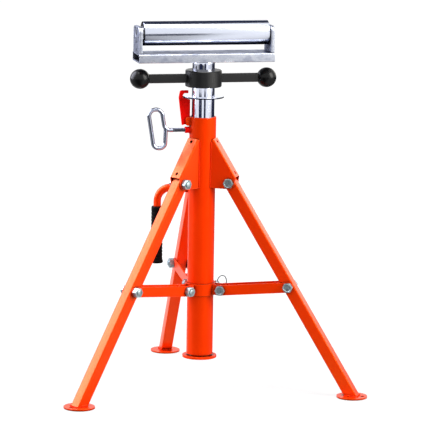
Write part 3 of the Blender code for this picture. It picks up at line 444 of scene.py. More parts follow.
def bridge(bm, rows):
    """Quads between closed rows, each row joined to the next."""
    for first, second in zip(rows, rows[1:]):
        for i in range(len(first)):
            j = (i + 1) % len(first)
            bm.faces.new((first[i], first[j], second[j], second[i]))


def capped(bm, rows):
    """A closed mesh from rows joined in turn, with a face at either end."""
    bridge(bm, rows)
    bm.faces.new(rows[0])
    bm.faces.new(rows[-1])
    return mesh_from(bm)


def turned(profile, steps=96):
    """A closed (radius, z) profile turned round Z; points at radius 0 close on the axis."""
    bm = bmesh.new()
    angles = [i * (2 * math.pi / steps) for i in range(steps)]
    rows = []
    for radius, z in profile:
        r = max(radius, 1e-9)
        rows.append([bm.verts.new((r * math.cos(a), r * math.sin(a), z)) for a in angles])
    bridge(bm, rows + rows[:1])
    bmesh.ops.remove_doubles(bm, verts=bm.verts, dist=1e-7)
    bmesh.ops.dissolve_degenerate(bm, edges=bm.edges, dist=1e-8)
    return mesh_from(bm)


def rounded_profile(points, radius, steps=3):
    """A closed profile with each corner off the axis rounded."""
    rounded = []
    for i, here in enumerate(points):
        here = Vector(here)
        back = Vector(points[i - 1]) - here
        ahead = Vector(points[(i + 1) % len(points)]) - here
        reach = min(radius, back.length * 0.45, ahead.length * 0.45)
        if here.x < 1e-6 or reach < 1e-6:
            rounded.append(tuple(here))
            continue
        start = here + back.normalized() * reach
        end = here + ahead.normalized() * reach
        for k in range(steps + 1):
            t = k / steps
            rounded.append(tuple(start * (1 - t) ** 2 + here * (2 * t * (1 - t)) + end * t**2))
    return rounded


def tube_profile(inner, outer, low, high):
    """A tube's section, or a solid rod's where inner is 0."""
    return [(inner, low), (outer, low), (outer, high), (inner, high)]


def rod(radius, low, high, steps):
    """A plain rod along Z."""
    return turned(tube_profile(0, radius, low, high), steps)


def filleted(corners, radii, steps):
    """A flat route through corners, each inner corner rounded by its own radius."""
    route = [Vector(corners[0])]
    for i, radius in enumerate(radii, 1):
        here = Vector(corners[i])
        back = (Vector(corners[i - 1]) - here).normalized()
        ahead = (Vector(corners[i + 1]) - here).normalized()
        half = back.angle(ahead) / 2
        centre = here + (back + ahead).normalized() * (radius / math.sin(half))
        first = here + back * (radius / math.tan(half)) - centre
        last = here + ahead * (radius / math.tan(half)) - centre
        for k in range(steps + 1):
            route.append(centre + first.slerp(last, k / steps).normalized() * radius)
    route.append(Vector(corners[-1]))
    return route


def swept(route, radius, sides):
    """A round bar along a list of 3-D points."""
    points = [Vector(p) for p in route]
    bm = bmesh.new()
    rows = []
    normal = None
    for i, here in enumerate(points):
        along = (points[min(i + 1, len(points) - 1)] - points[max(i - 1, 0)]).normalized()
        if normal is None:
            normal = along.orthogonal().normalized()
        normal = (normal - along * normal.dot(along)).normalized()
        across = along.cross(normal)
        rows.append([
            bm.verts.new(here + normal * (radius * math.cos(a)) + across * (radius * math.sin(a)))
            for a in (2 * math.pi * k / sides for k in range(sides))
        ])
    return capped(bm, rows)


def threaded(radius, pitch, depth, low, high, steps, per_pitch, run_out):
    """A bar along Z with a V thread whose crest winds up it; the thread fades in over run_out pitches."""
    bm = bmesh.new()
    count = max(2, round((high - low) / pitch * per_pitch))
    rows = []
    for i in range(count + 1):
        z = low + (high - low) * i / count
        fade = min(1.0, (z - low) / (run_out * pitch), (high - z) / (run_out * pitch))
        end_chamfer = depth * 0.8 if i in (0, count) else 0.0
        row = []
        for k in range(steps):
            phase = (z / pitch - k / steps) % 1.0
            dip = depth * (1 - abs(2 * phase - 1)) * max(fade, 0.0)
            r = radius - max(dip, end_chamfer)
            angle = 2 * math.pi * k / steps
            row.append(bm.verts.new((r * math.cos(angle), r * math.sin(angle), z)))
        rows.append(row)
    return capped(bm, rows)


def joined(*meshes):
    """Closed shells put into one mesh."""
    bm = bmesh.new()
    for mesh in meshes:
        bm.from_mesh(mesh)
    result = bpy.data.meshes.new("shells")
    bm.to_mesh(result)
    bm.free()
    return result


def baked(obj, *helpers):
    """The object's mesh with its modifiers applied; the object and its helpers are then removed."""
    result = bpy.data.meshes.new_from_object(obj.evaluated_get(bpy.context.evaluated_depsgraph_get()))
    for helper in (obj, *helpers):
        bpy.data.objects.remove(helper)
    return result


def modified(mesh, kind, **settings):
    """A mesh after one modifier."""
    obj = new_object("working_copy", mesh)
    step = obj.modifiers.new(kind, kind)
    for label, value in settings.items():
        setattr(step, label, value)
    return baked(obj)


def cut(mesh, tool, operation="DIFFERENCE"):
    """A mesh less a tool's mesh, or what the two share."""
    obj, tool = new_object("working_copy", mesh), new_object("working_tool", tool)
    step = obj.modifiers.new("cut", "BOOLEAN")
    step.operation, step.solver, step.object = operation, "EXACT", tool
    return baked(obj, tool)


def rounded_node(node, width, segments=2, smooth=40, flat=3.0, cutter=None, finish=None):
    """A copy of a CAD node with its flat faces whole again and its sharp edges rounded."""
    bm = bmesh.new()
    bm.from_mesh(frame["nodes"][node].data)
    bmesh.ops.remove_doubles(bm, verts=bm.verts, dist=2e-6)
    bmesh.ops.dissolve_limit(
        bm, angle_limit=math.radians(flat), use_dissolve_boundaries=False, verts=bm.verts, edges=bm.edges,
        delimit={"NORMAL"},
    )
    mesh = bpy.data.meshes.new("merged")
    bm.to_mesh(mesh)
    bm.free()
    if cutter is not None:
        mesh = cut(mesh, cutter)
    if width:
        mesh = modified(mesh, "BEVEL", width=width, segments=segments, limit_method="ANGLE",
                        angle_limit=math.radians(smooth), miter_outer="MITER_ARC")
        shade(mesh, smooth)
        # The large flat faces keep their own normals
        mesh = modified(mesh, "WEIGHTED_NORMAL", mode="FACE_AREA", weight=100, keep_sharp=True)
    finish = finish or SLOT_FINISH[slot_of[node]]
    return add_piece(f"{node}_finish", mesh, finish, body_of[node], node, smooth=smooth)


# Every CAD node gets its finish, also where a piece replaces it
for name, node in frame["nodes"].items():
    node.data.materials.clear()
    node.data.materials.append(SLOT_FINISH[slot_of[name]])


# Frame and legs

for name, edge in (("main_tube", 0.5), ("base_plate", 0.6), ("lock_collar", 0.5)):
    rounded_node(name, edge * MM, finish=TUBE_ORANGE)
rounded_node("latch_hook", 0.6 * MM)
rounded_node("carry_handle", 0, smooth=50)

# A hood's drain holes: their places along the leg, up from its hinge, and the span of the drill
HOOD_HOLES = (-90 * MM, -13.5 * MM)
HOOD_HOLE_R = 3.6 * MM
WEB_INSIDE = LEG_SIDE / 2 + 4 * MM
DRILL_SPAN = (WEB_INSIDE - MM, WEB_INSIDE + 8 * MM)


def drain_holes(leg):
    """Cutters that open the two drain holes of a hood's web to their full size."""
    drills = []
    for along in HOOD_HOLES:
        place = sector(LEGS[leg], HINGE_R + along * math.sin(LEG_ANGLE), HINGE_Z - along * math.cos(LEG_ANGLE))
        drill = rod(HOOD_HOLE_R, *DRILL_SPAN, 32)
        drill.transform(place @ Matrix.Rotation(math.radians(90) - LEG_ANGLE, 4, "Y"))
        drills.append(drill)
    return joined(*drills)


for leg in LEGS:
    rounded_node(f"leg_bracket_{leg}", 1.0 * MM, 3, 32, cutter=drain_holes(leg), finish=HOOD_ORANGE)
    rounded_node(f"leg_{leg}", 0.4 * MM, 2, 55)
    rounded_node(f"foot_plate_{leg}", 0.5 * MM)
    rounded_node(f"brace_{leg}", 0.4 * MM, 2, 32, finish=TUBE_ORANGE)


# Hex bolts and nuts

# Shares of the hexagon's size: a chamfer's start and slope, the washer face, and the dish of a forged head
CHAMFER_START = 0.98
CHAMFER_SLOPE = 0.62
WASHER_FACE = 0.95
DISH = (0.36, 0.4)
BOLT_THREAD = {"pitch": 1.75 * MM, "depth": 0.9 * MM, "steps": 20, "per_pitch": 6, "run_out": 0.5}
SHANK_STEPS = 28


def hex_prism(low, high):
    """A hexagonal prism along Z with both rims chamfered, as on forged heads and nuts."""
    half = BOLT_FLATS / 2
    corner = BOLT_FLATS / math.sqrt(3)
    angles = [math.pi * k / 3 for k in range(6)]
    bm = bmesh.new()
    rows = [[bm.verts.new((corner * math.cos(a), corner * math.sin(a), z)) for a in angles] for z in (low, high)]
    drop = (corner - half) * CHAMFER_SLOPE
    start, past_corner = half * CHAMFER_START, corner + 0.2 * MM
    barrel = turned([
        (0, low), (start, low), (past_corner, low + drop), (past_corner, high - drop), (start, high), (0, high),
    ], 48)
    return cut(capped(bm, rows), barrel, "INTERSECT")


def bolt_head(face):
    """A head whose bearing face is at z = face, standing towards +Z."""
    top = face + HEAD_THICK
    floor, above = top - 0.6 * MM, top + 0.1 * MM
    dish = turned([(0, floor), (BOLT_FLATS * DISH[0], floor), (BOLT_FLATS * DISH[1], above), (0, above)], 36)
    head = cut(hex_prism(face + 0.5 * MM, top), dish)
    return joined(head, rod(BOLT_FLATS / 2 * WASHER_FACE, face, face + 0.6 * MM, 36))


def bored_nut(face):
    """A nut whose bearing face is at z = face, with a countersunk bore."""
    top = face + NUT_THICK
    bore = BOLT_R + SEAT
    wide = bore + 0.9 * MM
    hole = turned([
        (0, face - MM), (wide, face - MM), (bore, face + 0.6 * MM), (bore, top - 0.8 * MM),
        (wide, top + 0.2 * MM), (0, top + 0.2 * MM),
    ], SHANK_STEPS)
    return cut(hex_prism(face, top), hole)


def fastened(leg, role, place, half_grip, body, tilt=0.0):
    """The bolt and nut of one joint: a through bolt, or two halves on a brace's cheeks."""
    place = place @ Matrix.Rotation(tilt, 4, "Y")
    face = half_grip + SEAT
    if role == "brace":
        shank = rod(BOLT_R, LEG_SIDE / 2 + SEAT, face + MM, SHANK_STEPS)
        outer = face + NUT_THICK
        bolt = joined(bolt_head(face), shank)
        tail = threaded(BOLT_R, low=outer - MM, high=outer + BOLT_PROUD, **BOLT_THREAD)
        nut = joined(hex_prism(face, outer), shank, tail)
    else:
        end = -face - NUT_THICK
        tail = threaded(BOLT_R, low=end - BOLT_PROUD, high=end + 0.5 * MM, **BOLT_THREAD)
        bolt = joined(bolt_head(face), rod(BOLT_R, end, face + MM, SHANK_STEPS), tail)
        nut = bored_nut(face)
    # The head stands towards the sector's -Y and the nut towards +Y
    add_piece(f"{role}_bolt_{leg}_hex", bolt, FASTENER, body, f"{role}_bolt_{leg}", place @ rotated("X", 90))
    add_piece(f"{role}_nut_{leg}_hex", nut, FASTENER, body, f"{role}_nut_{leg}", place @ rotated("X", -90))


BRACE_RISE = HINGE_Z - LEG_BOLT_DISTANCE * math.cos(LEG_ANGLE) - COLLAR_Z
BRACE_RUN = HINGE_R + LEG_BOLT_DISTANCE * math.sin(LEG_ANGLE) - COLLAR_PIVOT_R
BRACE_SLOPE = math.atan2(BRACE_RISE, BRACE_RUN)
for leg, degrees in LEGS.items():
    fastened(leg, "hinge", sector(degrees, HINGE_R, HINGE_Z), HOOD_OUT, "frame")
    fastened(leg, "collar", sector(degrees, COLLAR_PIVOT_R, COLLAR_Z), CHEEK_OUT, "collar")
    outer_end = sector(degrees, COLLAR_PIVOT_R + BRACE_RUN, COLLAR_Z + BRACE_RISE)
    fastened(leg, "brace", outer_end, CHEEK_OUT, f"brace_{leg}", -BRACE_SLOPE)


# Mast, nut and head

axis_place = Matrix.Translation(AXIS)


def rounded_turning(profile, edge, steps=96):
    """A turning whose edges are rounded."""
    return turned(rounded_profile(profile, edge), steps)


def turned_node(node, profile, edge, steps=96, place=axis_place):
    """Replaces a turned CAD node by a finer turning with rounded edges."""
    mesh = rounded_turning(profile, edge, steps)
    add_piece(f"{node}_turned", mesh, SLOT_FINISH[slot_of[node]], body_of[node], node, place)


def tube_node(node, inner, outer, edge):
    """Replaces an upright tube of the CAD and keeps its height."""
    low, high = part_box(node)
    turned_node(node, tube_profile(inner, outer, low.z, high.z), edge)


tube_node("mast_tube", MAST_R - MAST_WALL, MAST_R, 0.5 * MM)

# The latch ring and a rim of darker steel round its outer edge, which overlap by half the rim's width
RING_R_OUT = 44 * MM
RIM_WIDTH = 0.6 * MM
ring_low, ring_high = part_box("latch_ring")
ring_profile = tube_profile(MAST_R + SEAT, RING_R_OUT - RIM_WIDTH / 2, ring_low.z, ring_high.z)
ring_mesh = rounded_turning(ring_profile, 0.3 * MM)
add_piece("latch_ring_turned", ring_mesh, RING_CHROME, "mast", "latch_ring", axis_place)
rim_profile = tube_profile(RING_R_OUT - RIM_WIDTH, RING_R_OUT, ring_low.z + 0.05 * MM, ring_high.z - 0.25 * MM)
rim_mesh = rounded_turning(rim_profile, 0.1 * MM)
rim_piece = add_piece("latch_ring_rim", rim_mesh, DARK_RIM_STEEL, "mast", place=axis_place)

WASHER_BORE_R = 13.6 * MM
SLEEVE_R_IN, SLEEVE_R_OUT = 20.8 * MM, 23.8 * MM
tube_node("thrust_washer", WASHER_BORE_R, MAST_R - SEAT, 0.3 * MM)
tube_node("head_sleeve", SLEEVE_R_IN, SLEEVE_R_OUT, 0.5 * MM)
rounded_node("adjusting_nut", 0.9 * MM, 3, 40, 1.0)
for side in ("left", "right"):
    rounded_node(f"handle_arm_{side}", 0.5 * MM, 2, 50)
    rounded_node(f"end_bracket_{side}", 0.5 * MM, 2, 50)
rounded_node("cradle_section", 0.4 * MM, 2, 55)

LEAD_R = 12 * MM
LEAD_PITCH, LEAD_DEPTH = 5 * MM, 2.3 * MM
LEAD_PLAIN = 8 * MM
screw_low, screw_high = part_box("lead_screw")
lead_thread = threaded(LEAD_R, LEAD_PITCH, LEAD_DEPTH, screw_low.z, screw_high.z - LEAD_PLAIN, 32, 10, 0.5)
plain_end = rod(LEAD_R, screw_high.z - LEAD_PLAIN - 0.5 * MM, screw_high.z, 48)
add_piece("lead_screw_thread", joined(lead_thread, plain_end), STEEL, "head", "lead_screw", axis_place)

# A ball's flat, and the radius and the end of its blind bore, from its centre
BALL_FLAT = 19 * MM
BALL_BORE_R = 5.3 * MM
BALL_BORE_END = -6.7 * MM


def ball_profile(radius):
    """A ball's section with a flat towards -Z, a rim, and a blind bore."""
    count = 40
    start = math.acos(BALL_FLAT / radius)
    points = [(BALL_BORE_R, BALL_BORE_END), (BALL_BORE_R, -BALL_FLAT),
              (radius * math.sin(start) - 0.5 * MM, -BALL_FLAT)]
    for i in range(count):
        angle = start + (math.pi - start) * i / count
        points.append((radius * math.sin(angle), -radius * math.cos(angle)))
    return points + [(0, radius), (0, BALL_BORE_END)]


SIDES = (("left", -1), ("right", 1))
for side, sign in SIDES:
    ball_low, ball_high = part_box(f"ball_knob_{side}")
    ball_r = (ball_high.z - ball_low.z) / 2
    outer_x = max(abs(ball_low.x), abs(ball_high.x))
    centre = Vector((sign * (outer_x - ball_r), AXIS.y, (ball_low.z + ball_high.z) / 2))
    ball_place = Matrix.Translation(centre) @ rotated("Y", 90 * sign)
    knob = turned(ball_profile(ball_r), 72)
    add_piece(f"ball_knob_{side}_turned", knob, BALL, "nut", f"ball_knob_{side}", ball_place, 30)

# The shell's left end stops short of its CAD place, which leaves the photo's black gap by the bracket
SHELL_WALL = 3 * MM
SHELL_SHORT = 4.5 * MM
roller_place = Matrix.Translation((AXIS.x, AXIS.y, ROLLER_Z)) @ ALONG_X
shell_low, shell_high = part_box("roller_shell")
SHELL_R = (shell_high.z - shell_low.z) / 2
SHELL_HALF = (shell_high.x - shell_low.x) / 2
shell_profile = tube_profile(SHELL_R - SHELL_WALL, SHELL_R, -SHELL_HALF + SHELL_SHORT, SHELL_HALF)
shell_mesh = rounded_turning(shell_profile, 0.8 * MM, 128)
add_piece("roller_shell_ground", shell_mesh, ROLLER, "roller", "roller_shell", roller_place)
axle_low, axle_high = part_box("roller_axle")
AXLE_R = (axle_high.z - axle_low.z) / 2
AXLE_HALF = (axle_high.x - axle_low.x) / 2
turned_node("roller_axle", tube_profile(0, AXLE_R, -AXLE_HALF, AXLE_HALF), 0.8 * MM, 48, roller_place)

# Caps and bearings: their radii, and the four radii and the depth of the groove in their outer faces
CAP_BORE_R = 16.3 * MM
CAP_R = SHELL_R - 3.3 * MM
CAP_GROOVE = (20.5 * MM, 19.6 * MM, 18.4 * MM, 17.6 * MM, 0.9 * MM)
RACE_R = 16 * MM
RACE_GROOVE = (13.6 * MM, 13.3 * MM, 10.4 * MM, 10.1 * MM, 0.8 * MM)


def grooved_ring(inner, outer, low, high, groove):
    """A ring's section with a groove in its upper face."""
    first, second, third, last, deep = groove
    return tube_profile(inner, outer, low, high)[:3] + [
        (first, high), (second, high - deep), (third, high - deep), (last, high), (inner, high),
    ]


for side, sign in SIDES:
    facing = roller_place if sign > 0 else roller_place @ Matrix.Rotation(math.pi, 4, "X")
    cap_low, cap_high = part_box(f"roller_end_cap_{side}")
    cap_in, cap_out = sorted((abs(cap_low.x), abs(cap_high.x)))
    if side == "left":
        cap_out -= SHELL_SHORT
    cap_profile = grooved_ring(CAP_BORE_R, CAP_R, cap_in, cap_out, CAP_GROOVE)
    turned_node(f"roller_end_cap_{side}", cap_profile, 0.3 * MM, 72, facing)
    race_low, race_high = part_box(f"roller_bearing_{side}")
    race_in, race_out = sorted((abs(race_low.x), abs(race_high.x)))
    race_profile = grooved_ring(AXLE_R + SEAT, RACE_R, race_in, race_out, RACE_GROOVE)
    turned_node(f"roller_bearing_{side}", race_profile, 0.25 * MM, 64, facing)


# Clamp screw: its loop in mm from the mast's axis, X to the right and Z up, and where its thread runs
LOOP = [(-66, 0), (-83, 0), (-90.5, 44.5), (-120, 44.5), (-106.5, -38.9), (-82, -38.9), (-81, 2)]
LOOP_BENDS = [14, 14, 14, 12, 12]
ROD_R = 4.4 * MM
CLAMP_PITCH, CLAMP_DEPTH = 1.5 * MM, 0.75 * MM
CLAMP_THREAD = (24.45 * MM, 66.5 * MM)

rounded_node("clamp_boss", 0.5 * MM)
clamp_place = Matrix.Translation((AXIS.x, AXIS.y, CLAMP_Z))
loop_route = filleted([(x * MM, z * MM) for x, z in LOOP], [r * MM for r in LOOP_BENDS], 12)
loop = swept([(p.x, 0, p.y) for p in loop_route], ROD_R, 28)
add_piece("clamp_screw_bent", loop, ROD, "clamp", "clamp_screw", clamp_place, 50)
clamp_thread = threaded(ROD_R, CLAMP_PITCH, CLAMP_DEPTH, *CLAMP_THREAD, 28, 6, 1.0)
clamp_thread.transform(rotated("Y", -90))
thread_piece = add_piece("clamp_screw_thread", clamp_thread, THREAD, "clamp", place=clamp_place, smooth=50)


# Pull pin: its (radius, distance from the tube's axis) section in mm, and the eye across it
PIN_AZIMUTH = 30
PIN_ABOVE_PIVOT = 5 * MM
PIN_SECTION = [(0, 28.8), (3, 28.8), (4, 29.8), (4, 42.5), (6, 42.5), (6, 45.5), (4, 45.5), (4, 52.5), (3, 53.5),
               (0, 53.5)]
EYE_AT = 49.5 * MM
EYE_R = 1.6 * MM
EYE_HALF = 6 * MM

pin_frame = sector(PIN_AZIMUTH, 0, COLLAR_Z + PIN_ABOVE_PIVOT)
pin_mesh = rounded_turning([(radius * MM, out * MM) for radius, out in PIN_SECTION], 0.5 * MM, 40)
pin_eye = rod(EYE_R, -EYE_HALF, EYE_HALF, 20)
pin_eye.transform(Matrix.Translation((0, 0, EYE_AT)) @ ALONG_X)
add_piece("lock_pin_turned", cut(pin_mesh, pin_eye), STEEL, "pull_pin", "lock_pin", pin_frame @ ALONG_X)

SPLIT_R = 14 * MM
SPLIT_WIRE_R = 0.9 * MM
SPLIT_SPREAD = 0.55
SPLIT_TURNS = 1.9
SPLIT_STEPS = 149
coil = []
for i in range(SPLIT_STEPS + 1):
    angle = 2 * math.pi * SPLIT_TURNS * i / SPLIT_STEPS
    coil.append((
        EYE_AT + SPLIT_R - SPLIT_R * math.cos(angle), SPLIT_WIRE_R * SPLIT_SPREAD * (2 * i / SPLIT_STEPS - 1),
        SPLIT_R * math.sin(angle),
    ))
coil_mesh = swept(coil, SPLIT_WIRE_R * 0.95, 12)
add_piece("split_ring_coil", coil_mesh, SPRING, "pull_pin", "split_ring", pin_frame)


# Rubber grip: a flange at its lower end, ribs, and a bore for the handle's rod
GRIP_OUT = 100 * MM
GRIP_R = 12.6 * MM
FLANGE_R = 14 * MM
GRIP_BORE_R = 8.7 * MM
GRIP_BORE_END_Z = 267.8 * MM
RIBS = 14
RIB_SECTION = ((-1.6, 0.0), (-0.9, -0.7), (0.9, -0.7), (1.6, 0.0))

grip_low, grip_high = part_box("handle_grip")
grip_profile = [
    (0, grip_low.z), (12 * MM, grip_low.z), (FLANGE_R, grip_low.z + 1.5 * MM),
    (FLANGE_R, grip_low.z + 4.5 * MM), (GRIP_R, grip_low.z + 8 * MM),
]
rib_start = grip_low.z + 14 * MM
rib_end = grip_high.z - 12 * MM
for i in range(RIBS):
    z = rib_start + (rib_end - rib_start) * i / (RIBS - 1)
    for offset, radius in RIB_SECTION:
        grip_profile.append((GRIP_R + radius * MM, z + offset * MM))
grip_profile += [
    (GRIP_R, grip_high.z - 2 * MM), (GRIP_R - 1.6 * MM, grip_high.z), (GRIP_BORE_R, grip_high.z),
    (GRIP_BORE_R, GRIP_BORE_END_Z), (0, GRIP_BORE_END_Z),
]
grip_mesh = turned(rounded_profile(grip_profile, 0.4 * MM, 2), 64)
grip_place = sector(HANDLE_AZIMUTH, GRIP_OUT)
add_piece("handle_grip_moulded", grip_mesh, RUBBER, "frame", "handle_grip", grip_place)

PIVOT_R = 2.5 * MM
pivot_low, pivot_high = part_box("latch_pivot_pin")
pivot_half = (pivot_high.y - pivot_low.y) / 2
pivot_place = Matrix.Translation(LATCH_PIVOT) @ rotated("X", 90)
pivot_mesh = rounded_turning(tube_profile(0, PIVOT_R, -pivot_half, pivot_half), 0.6 * MM, 32)
pivot_piece = add_piece("latch_pivot_pin_painted", pivot_mesh, ORANGE, "frame", "latch_pivot_pin", pivot_place)


# Weld beads, laid by Geometry Nodes along the seams

BEAD_FLATNESS = 0.55
BEAD_SIZES = (0.88, 1.12)
BEAD_STEP = 0.7


def weld_bead_tree():
    """Overlapping flattened drops along a path, with a small random change of size."""
    tree, given, out = new_group(
        "weld_bead", {"Path": "Geometry", "Bead Radius": "Float", "Step": "Float", "Finish": "Material"},
        {"Bead": "Geometry"}, "GeometryNodeTree",
    )
    curve = add_node(tree, "GeometryNodeMeshToCurve", {"Mesh": given["Path"]}).outputs["Curve"]
    spaced = add_node(tree, "GeometryNodeResampleCurve", {"Curve": curve, "Length": given["Step"]}, mode="LENGTH")
    drop = add_node(tree, "GeometryNodeMeshIcoSphere", {"Radius": given["Bead Radius"], "Subdivisions": 2})
    tangent = tree.nodes.new("GeometryNodeInputTangent").outputs["Tangent"]
    align = add_node(tree, "FunctionNodeAlignRotationToVector", {"Vector": tangent}, axis="Z")
    shape = add_node(tree, "ShaderNodeCombineXYZ", {"X": 1.0, "Y": 1.0, "Z": BEAD_FLATNESS}).outputs["Vector"]
    jitter = add_node(
        tree, "FunctionNodeRandomValue", {2: BEAD_SIZES[0], 3: BEAD_SIZES[1], "Seed": 7}, data_type="FLOAT"
    ).outputs[1]
    scaled = add_node(tree, "ShaderNodeVectorMath", {0: shape, "Scale": jitter}, operation="SCALE")
    beads = add_node(tree, "GeometryNodeInstanceOnPoints", {
        "Points": spaced.outputs["Curve"], "Instance": drop.outputs["Mesh"],
        "Rotation": align.outputs["Rotation"], "Scale": scaled.outputs["Vector"],
    }).outputs["Instances"]
    plain = add_node(tree, "GeometryNodeRealizeInstances", {"Geometry": beads}).outputs["Geometry"]
    painted = add_node(tree, "GeometryNodeSetMaterial", {"Geometry": plain, "Material": given["Finish"]})
    feed(tree, out.inputs["Bead"], painted.outputs["Geometry"])
    return tree


WELD_BEAD = weld_bead_tree()


def weld(name, paths, body, radius=1.6 * MM):
    """Beads along several paths of 3-D points, as one plain mesh."""
    mesh = bpy.data.meshes.new("weld_paths")
    points, edges = [], []
    for path in paths:
        start = len(points)
        points += [tuple(p) for p in path]
        edges += [(start + i, start + i + 1) for i in range(len(path) - 1)]
    mesh.from_pydata(points, edges, [])
    guide = new_object("weld_guide", mesh)
    step = guide.modifiers.new("weld_bead", "NODES")
    step.node_group = WELD_BEAD
    sockets = {item.name: item.identifier for item in WELD_BEAD.interface.items_tree if item.in_out == "INPUT"}
    step[sockets["Bead Radius"]] = radius
    step[sockets["Step"]] = radius * BEAD_STEP
    step[sockets["Finish"]] = WELD
    add_piece(name, baked(guide), WELD, body, smooth=60)


def hood_seam(place, side):
    """The seam where a hood's cheek meets the main tube."""
    out = math.sqrt(TUBE_R**2 - HOOD_OUT**2) + 0.3 * MM
    across = side * (HOOD_OUT + 0.4 * MM)
    return [place @ Vector((out, across, z)) for z in (HINGE_Z - HOOD_LOW + MM, HOOD_TOP_Z - 7 * MM)]


def foot_seam(place):
    """The seam round a leg's end on its foot plate."""
    corner = 2 * MM
    foot = HINGE_R + (HINGE_Z - FOOT_THICK) * math.tan(LEG_ANGLE)
    half = LEG_SIDE / 2
    inner, outer = foot - half / math.cos(LEG_ANGLE), foot + half / math.cos(LEG_ANGLE)
    flat = [(inner, -half + corner), (inner, half - corner), (inner + corner, half), (outer - corner, half),
            (outer, half - corner), (outer, -half + corner), (outer - corner, -half), (inner + corner, -half)]
    return [place @ Vector((x, y, FOOT_THICK + 0.7 * MM)) for x, y in flat + flat[:1]]


def saddle(azimuth_degrees, height, rod_radius):
    """The seam of a round bar that leaves the main tube at a right angle."""
    lift, steps = 0.4 * MM, 48
    place = sector(azimuth_degrees)
    seam = []
    for i in range(steps + 1):
        angle = 2 * math.pi * i / steps
        y, z = (rod_radius + lift) * math.cos(angle), (rod_radius + lift) * math.sin(angle)
        seam.append(place @ Vector((math.sqrt(TUBE_R**2 - y * y) + lift, y, height + z)))
    return seam


for leg, degrees in LEGS.items():
    leg_place = sector(degrees)
    weld(f"bracket_weld_{leg}", [hood_seam(leg_place, side) for side in (-1, 1)], "frame")
    weld(f"foot_weld_{leg}", [foot_seam(leg_place)], f"leg_{leg}")

HANDLE_FOOT_Z = 428.5 * MM
HANDLE_SEAM_R = 8.3 * MM
BOSS_AZIMUTH = 180
BOSS_SEAM_R = 7 * MM
weld("handle_weld", [saddle(HANDLE_AZIMUTH, HANDLE_FOOT_Z, HANDLE_SEAM_R)], "frame", 1.5 * MM)
weld("boss_weld", [saddle(BOSS_AZIMUTH, CLAMP_Z, BOSS_SEAM_R)], "frame", 1.2 * MM)


# Camera, lights and floor


def camera():
    """The photograph's camera."""
    azimuth, pitch, roll = CAMERA_AZIMUTH, CAMERA_PITCH, CAMERA_ROLL
    level = Vector((-math.sin(azimuth), math.cos(azimuth), 0))
    right = Vector((math.cos(azimuth), math.sin(azimuth), 0))
    forward = level * math.cos(pitch) - Vector((0, 0, math.sin(pitch)))
    up = right.cross(forward)
    rolled_right = right * math.cos(roll) + up * math.sin(roll)
    rolled_up = up * math.cos(roll) - right * math.sin(roll)
    data = bpy.data.cameras.new("photo_camera")
    data.sensor_fit = "HORIZONTAL"
    data.sensor_width = 36.0
    data.lens = FOCAL_PIXELS / PHOTO_PIXELS * data.sensor_width
    data.clip_end = 50
    obj = new_object("photo_camera", data)
    turn = Matrix((rolled_right, rolled_up, -forward)).transposed().to_4x4()
    obj.matrix_world = Matrix.Translation(CAMERA_FROM_AXIS + AXIS) @ turn
    bpy.context.scene.camera = obj


# What reflections see on the floor: angle round the stand, and a grey level as a share of BAND_LEVEL
BAND_LEVEL = 1.5
BANDS = [
    (-180, 0.2), (-166, 0.6), (-152, 0.95), (-138, 0.6), (-125, 0.25), (-112, 0.4), (-95, 0.42), (-80, 0.45),
    (-65, 0.4), (-50, 0.2), (-42, 0.06), (-15, 0.04), (-2, 0.12), (10, 0.4), (24, 0.5), (34, 0.85), (60, 0.6),
    (95, 0.5), (115, 0.22), (135, 0.1), (180, 0.2),
]


def studio_bands(tree):
    """Grey levels that go round the stand."""
    place = tree.nodes.new("ShaderNodeTexCoord").outputs["Object"]
    centred = add_node(tree, "ShaderNodeVectorMath", {0: place, 1: AXIS}, operation="SUBTRACT").outputs[0]
    towards_camera = (0, 0, math.radians(90) - CAMERA_AZIMUTH)
    turn = add_node(tree, "ShaderNodeMapping", {"Vector": centred, "Rotation": towards_camera}).outputs[0]
    round_axis = add_node(tree, "ShaderNodeTexGradient", {"Vector": turn}, gradient_type="RADIAL")
    ramp = add_node(tree, "ShaderNodeValToRGB", {"Fac": round_axis.outputs["Fac"]})
    stops = ramp.color_ramp.elements
    for angle, level in BANDS[1:-1]:
        stops.new(angle / 360 + 0.5).color = grey(level)
    for end in (0, -1):
        stops[end].color = grey(BANDS[end][1])
    return ramp.outputs["Color"]


def shader_choice(tree, factor, first, second):
    """The second of two shaders where factor is 1, and otherwise the first."""
    return add_node(tree, "ShaderNodeMixShader", {0: factor, 1: first, 2: second}).outputs[0]


def bare_tree(data):
    """The emptied node tree of a material or world."""
    data.use_nodes = True
    data.node_tree.nodes.clear()
    return data.node_tree


def sheet(name, corners, material):
    """One four-cornered face, as an object."""
    mesh = bpy.data.meshes.new(name)
    mesh.from_pydata(corners, [], [(0, 1, 2, 3)])
    mesh.materials.append(material)
    return new_object(name, mesh)


# The floor's grey to light, and how clear it is to the camera near the stand and further out. A thin film of
# paint takes a faint shadow. The feet of the folded stand, which hang below the floor, still show.
FLOOR_HALF = 30.0
FLOOR_Z = -0.4 * MM
FLOOR_GREY = 0.35
FLOOR_FILM = 0.12
FLOOR_CLEAR = (0.86, 0.98)
FLOOR_CLEAR_REACH = (0.4, 1.4)
# The white world's strength, as seen by diffuse and by glossy rays
WORLD_DIFFUSE, WORLD_GLOSSY = 0.29, 1.15


def seen_directly(tree):
    """The Light Path node's outputs, and 1 for the rays with which the camera sees."""
    rays = tree.nodes.new("ShaderNodeLightPath").outputs
    return rays, math_node(tree, "MAXIMUM", rays["Is Camera Ray"], rays["Is Transmission Ray"])


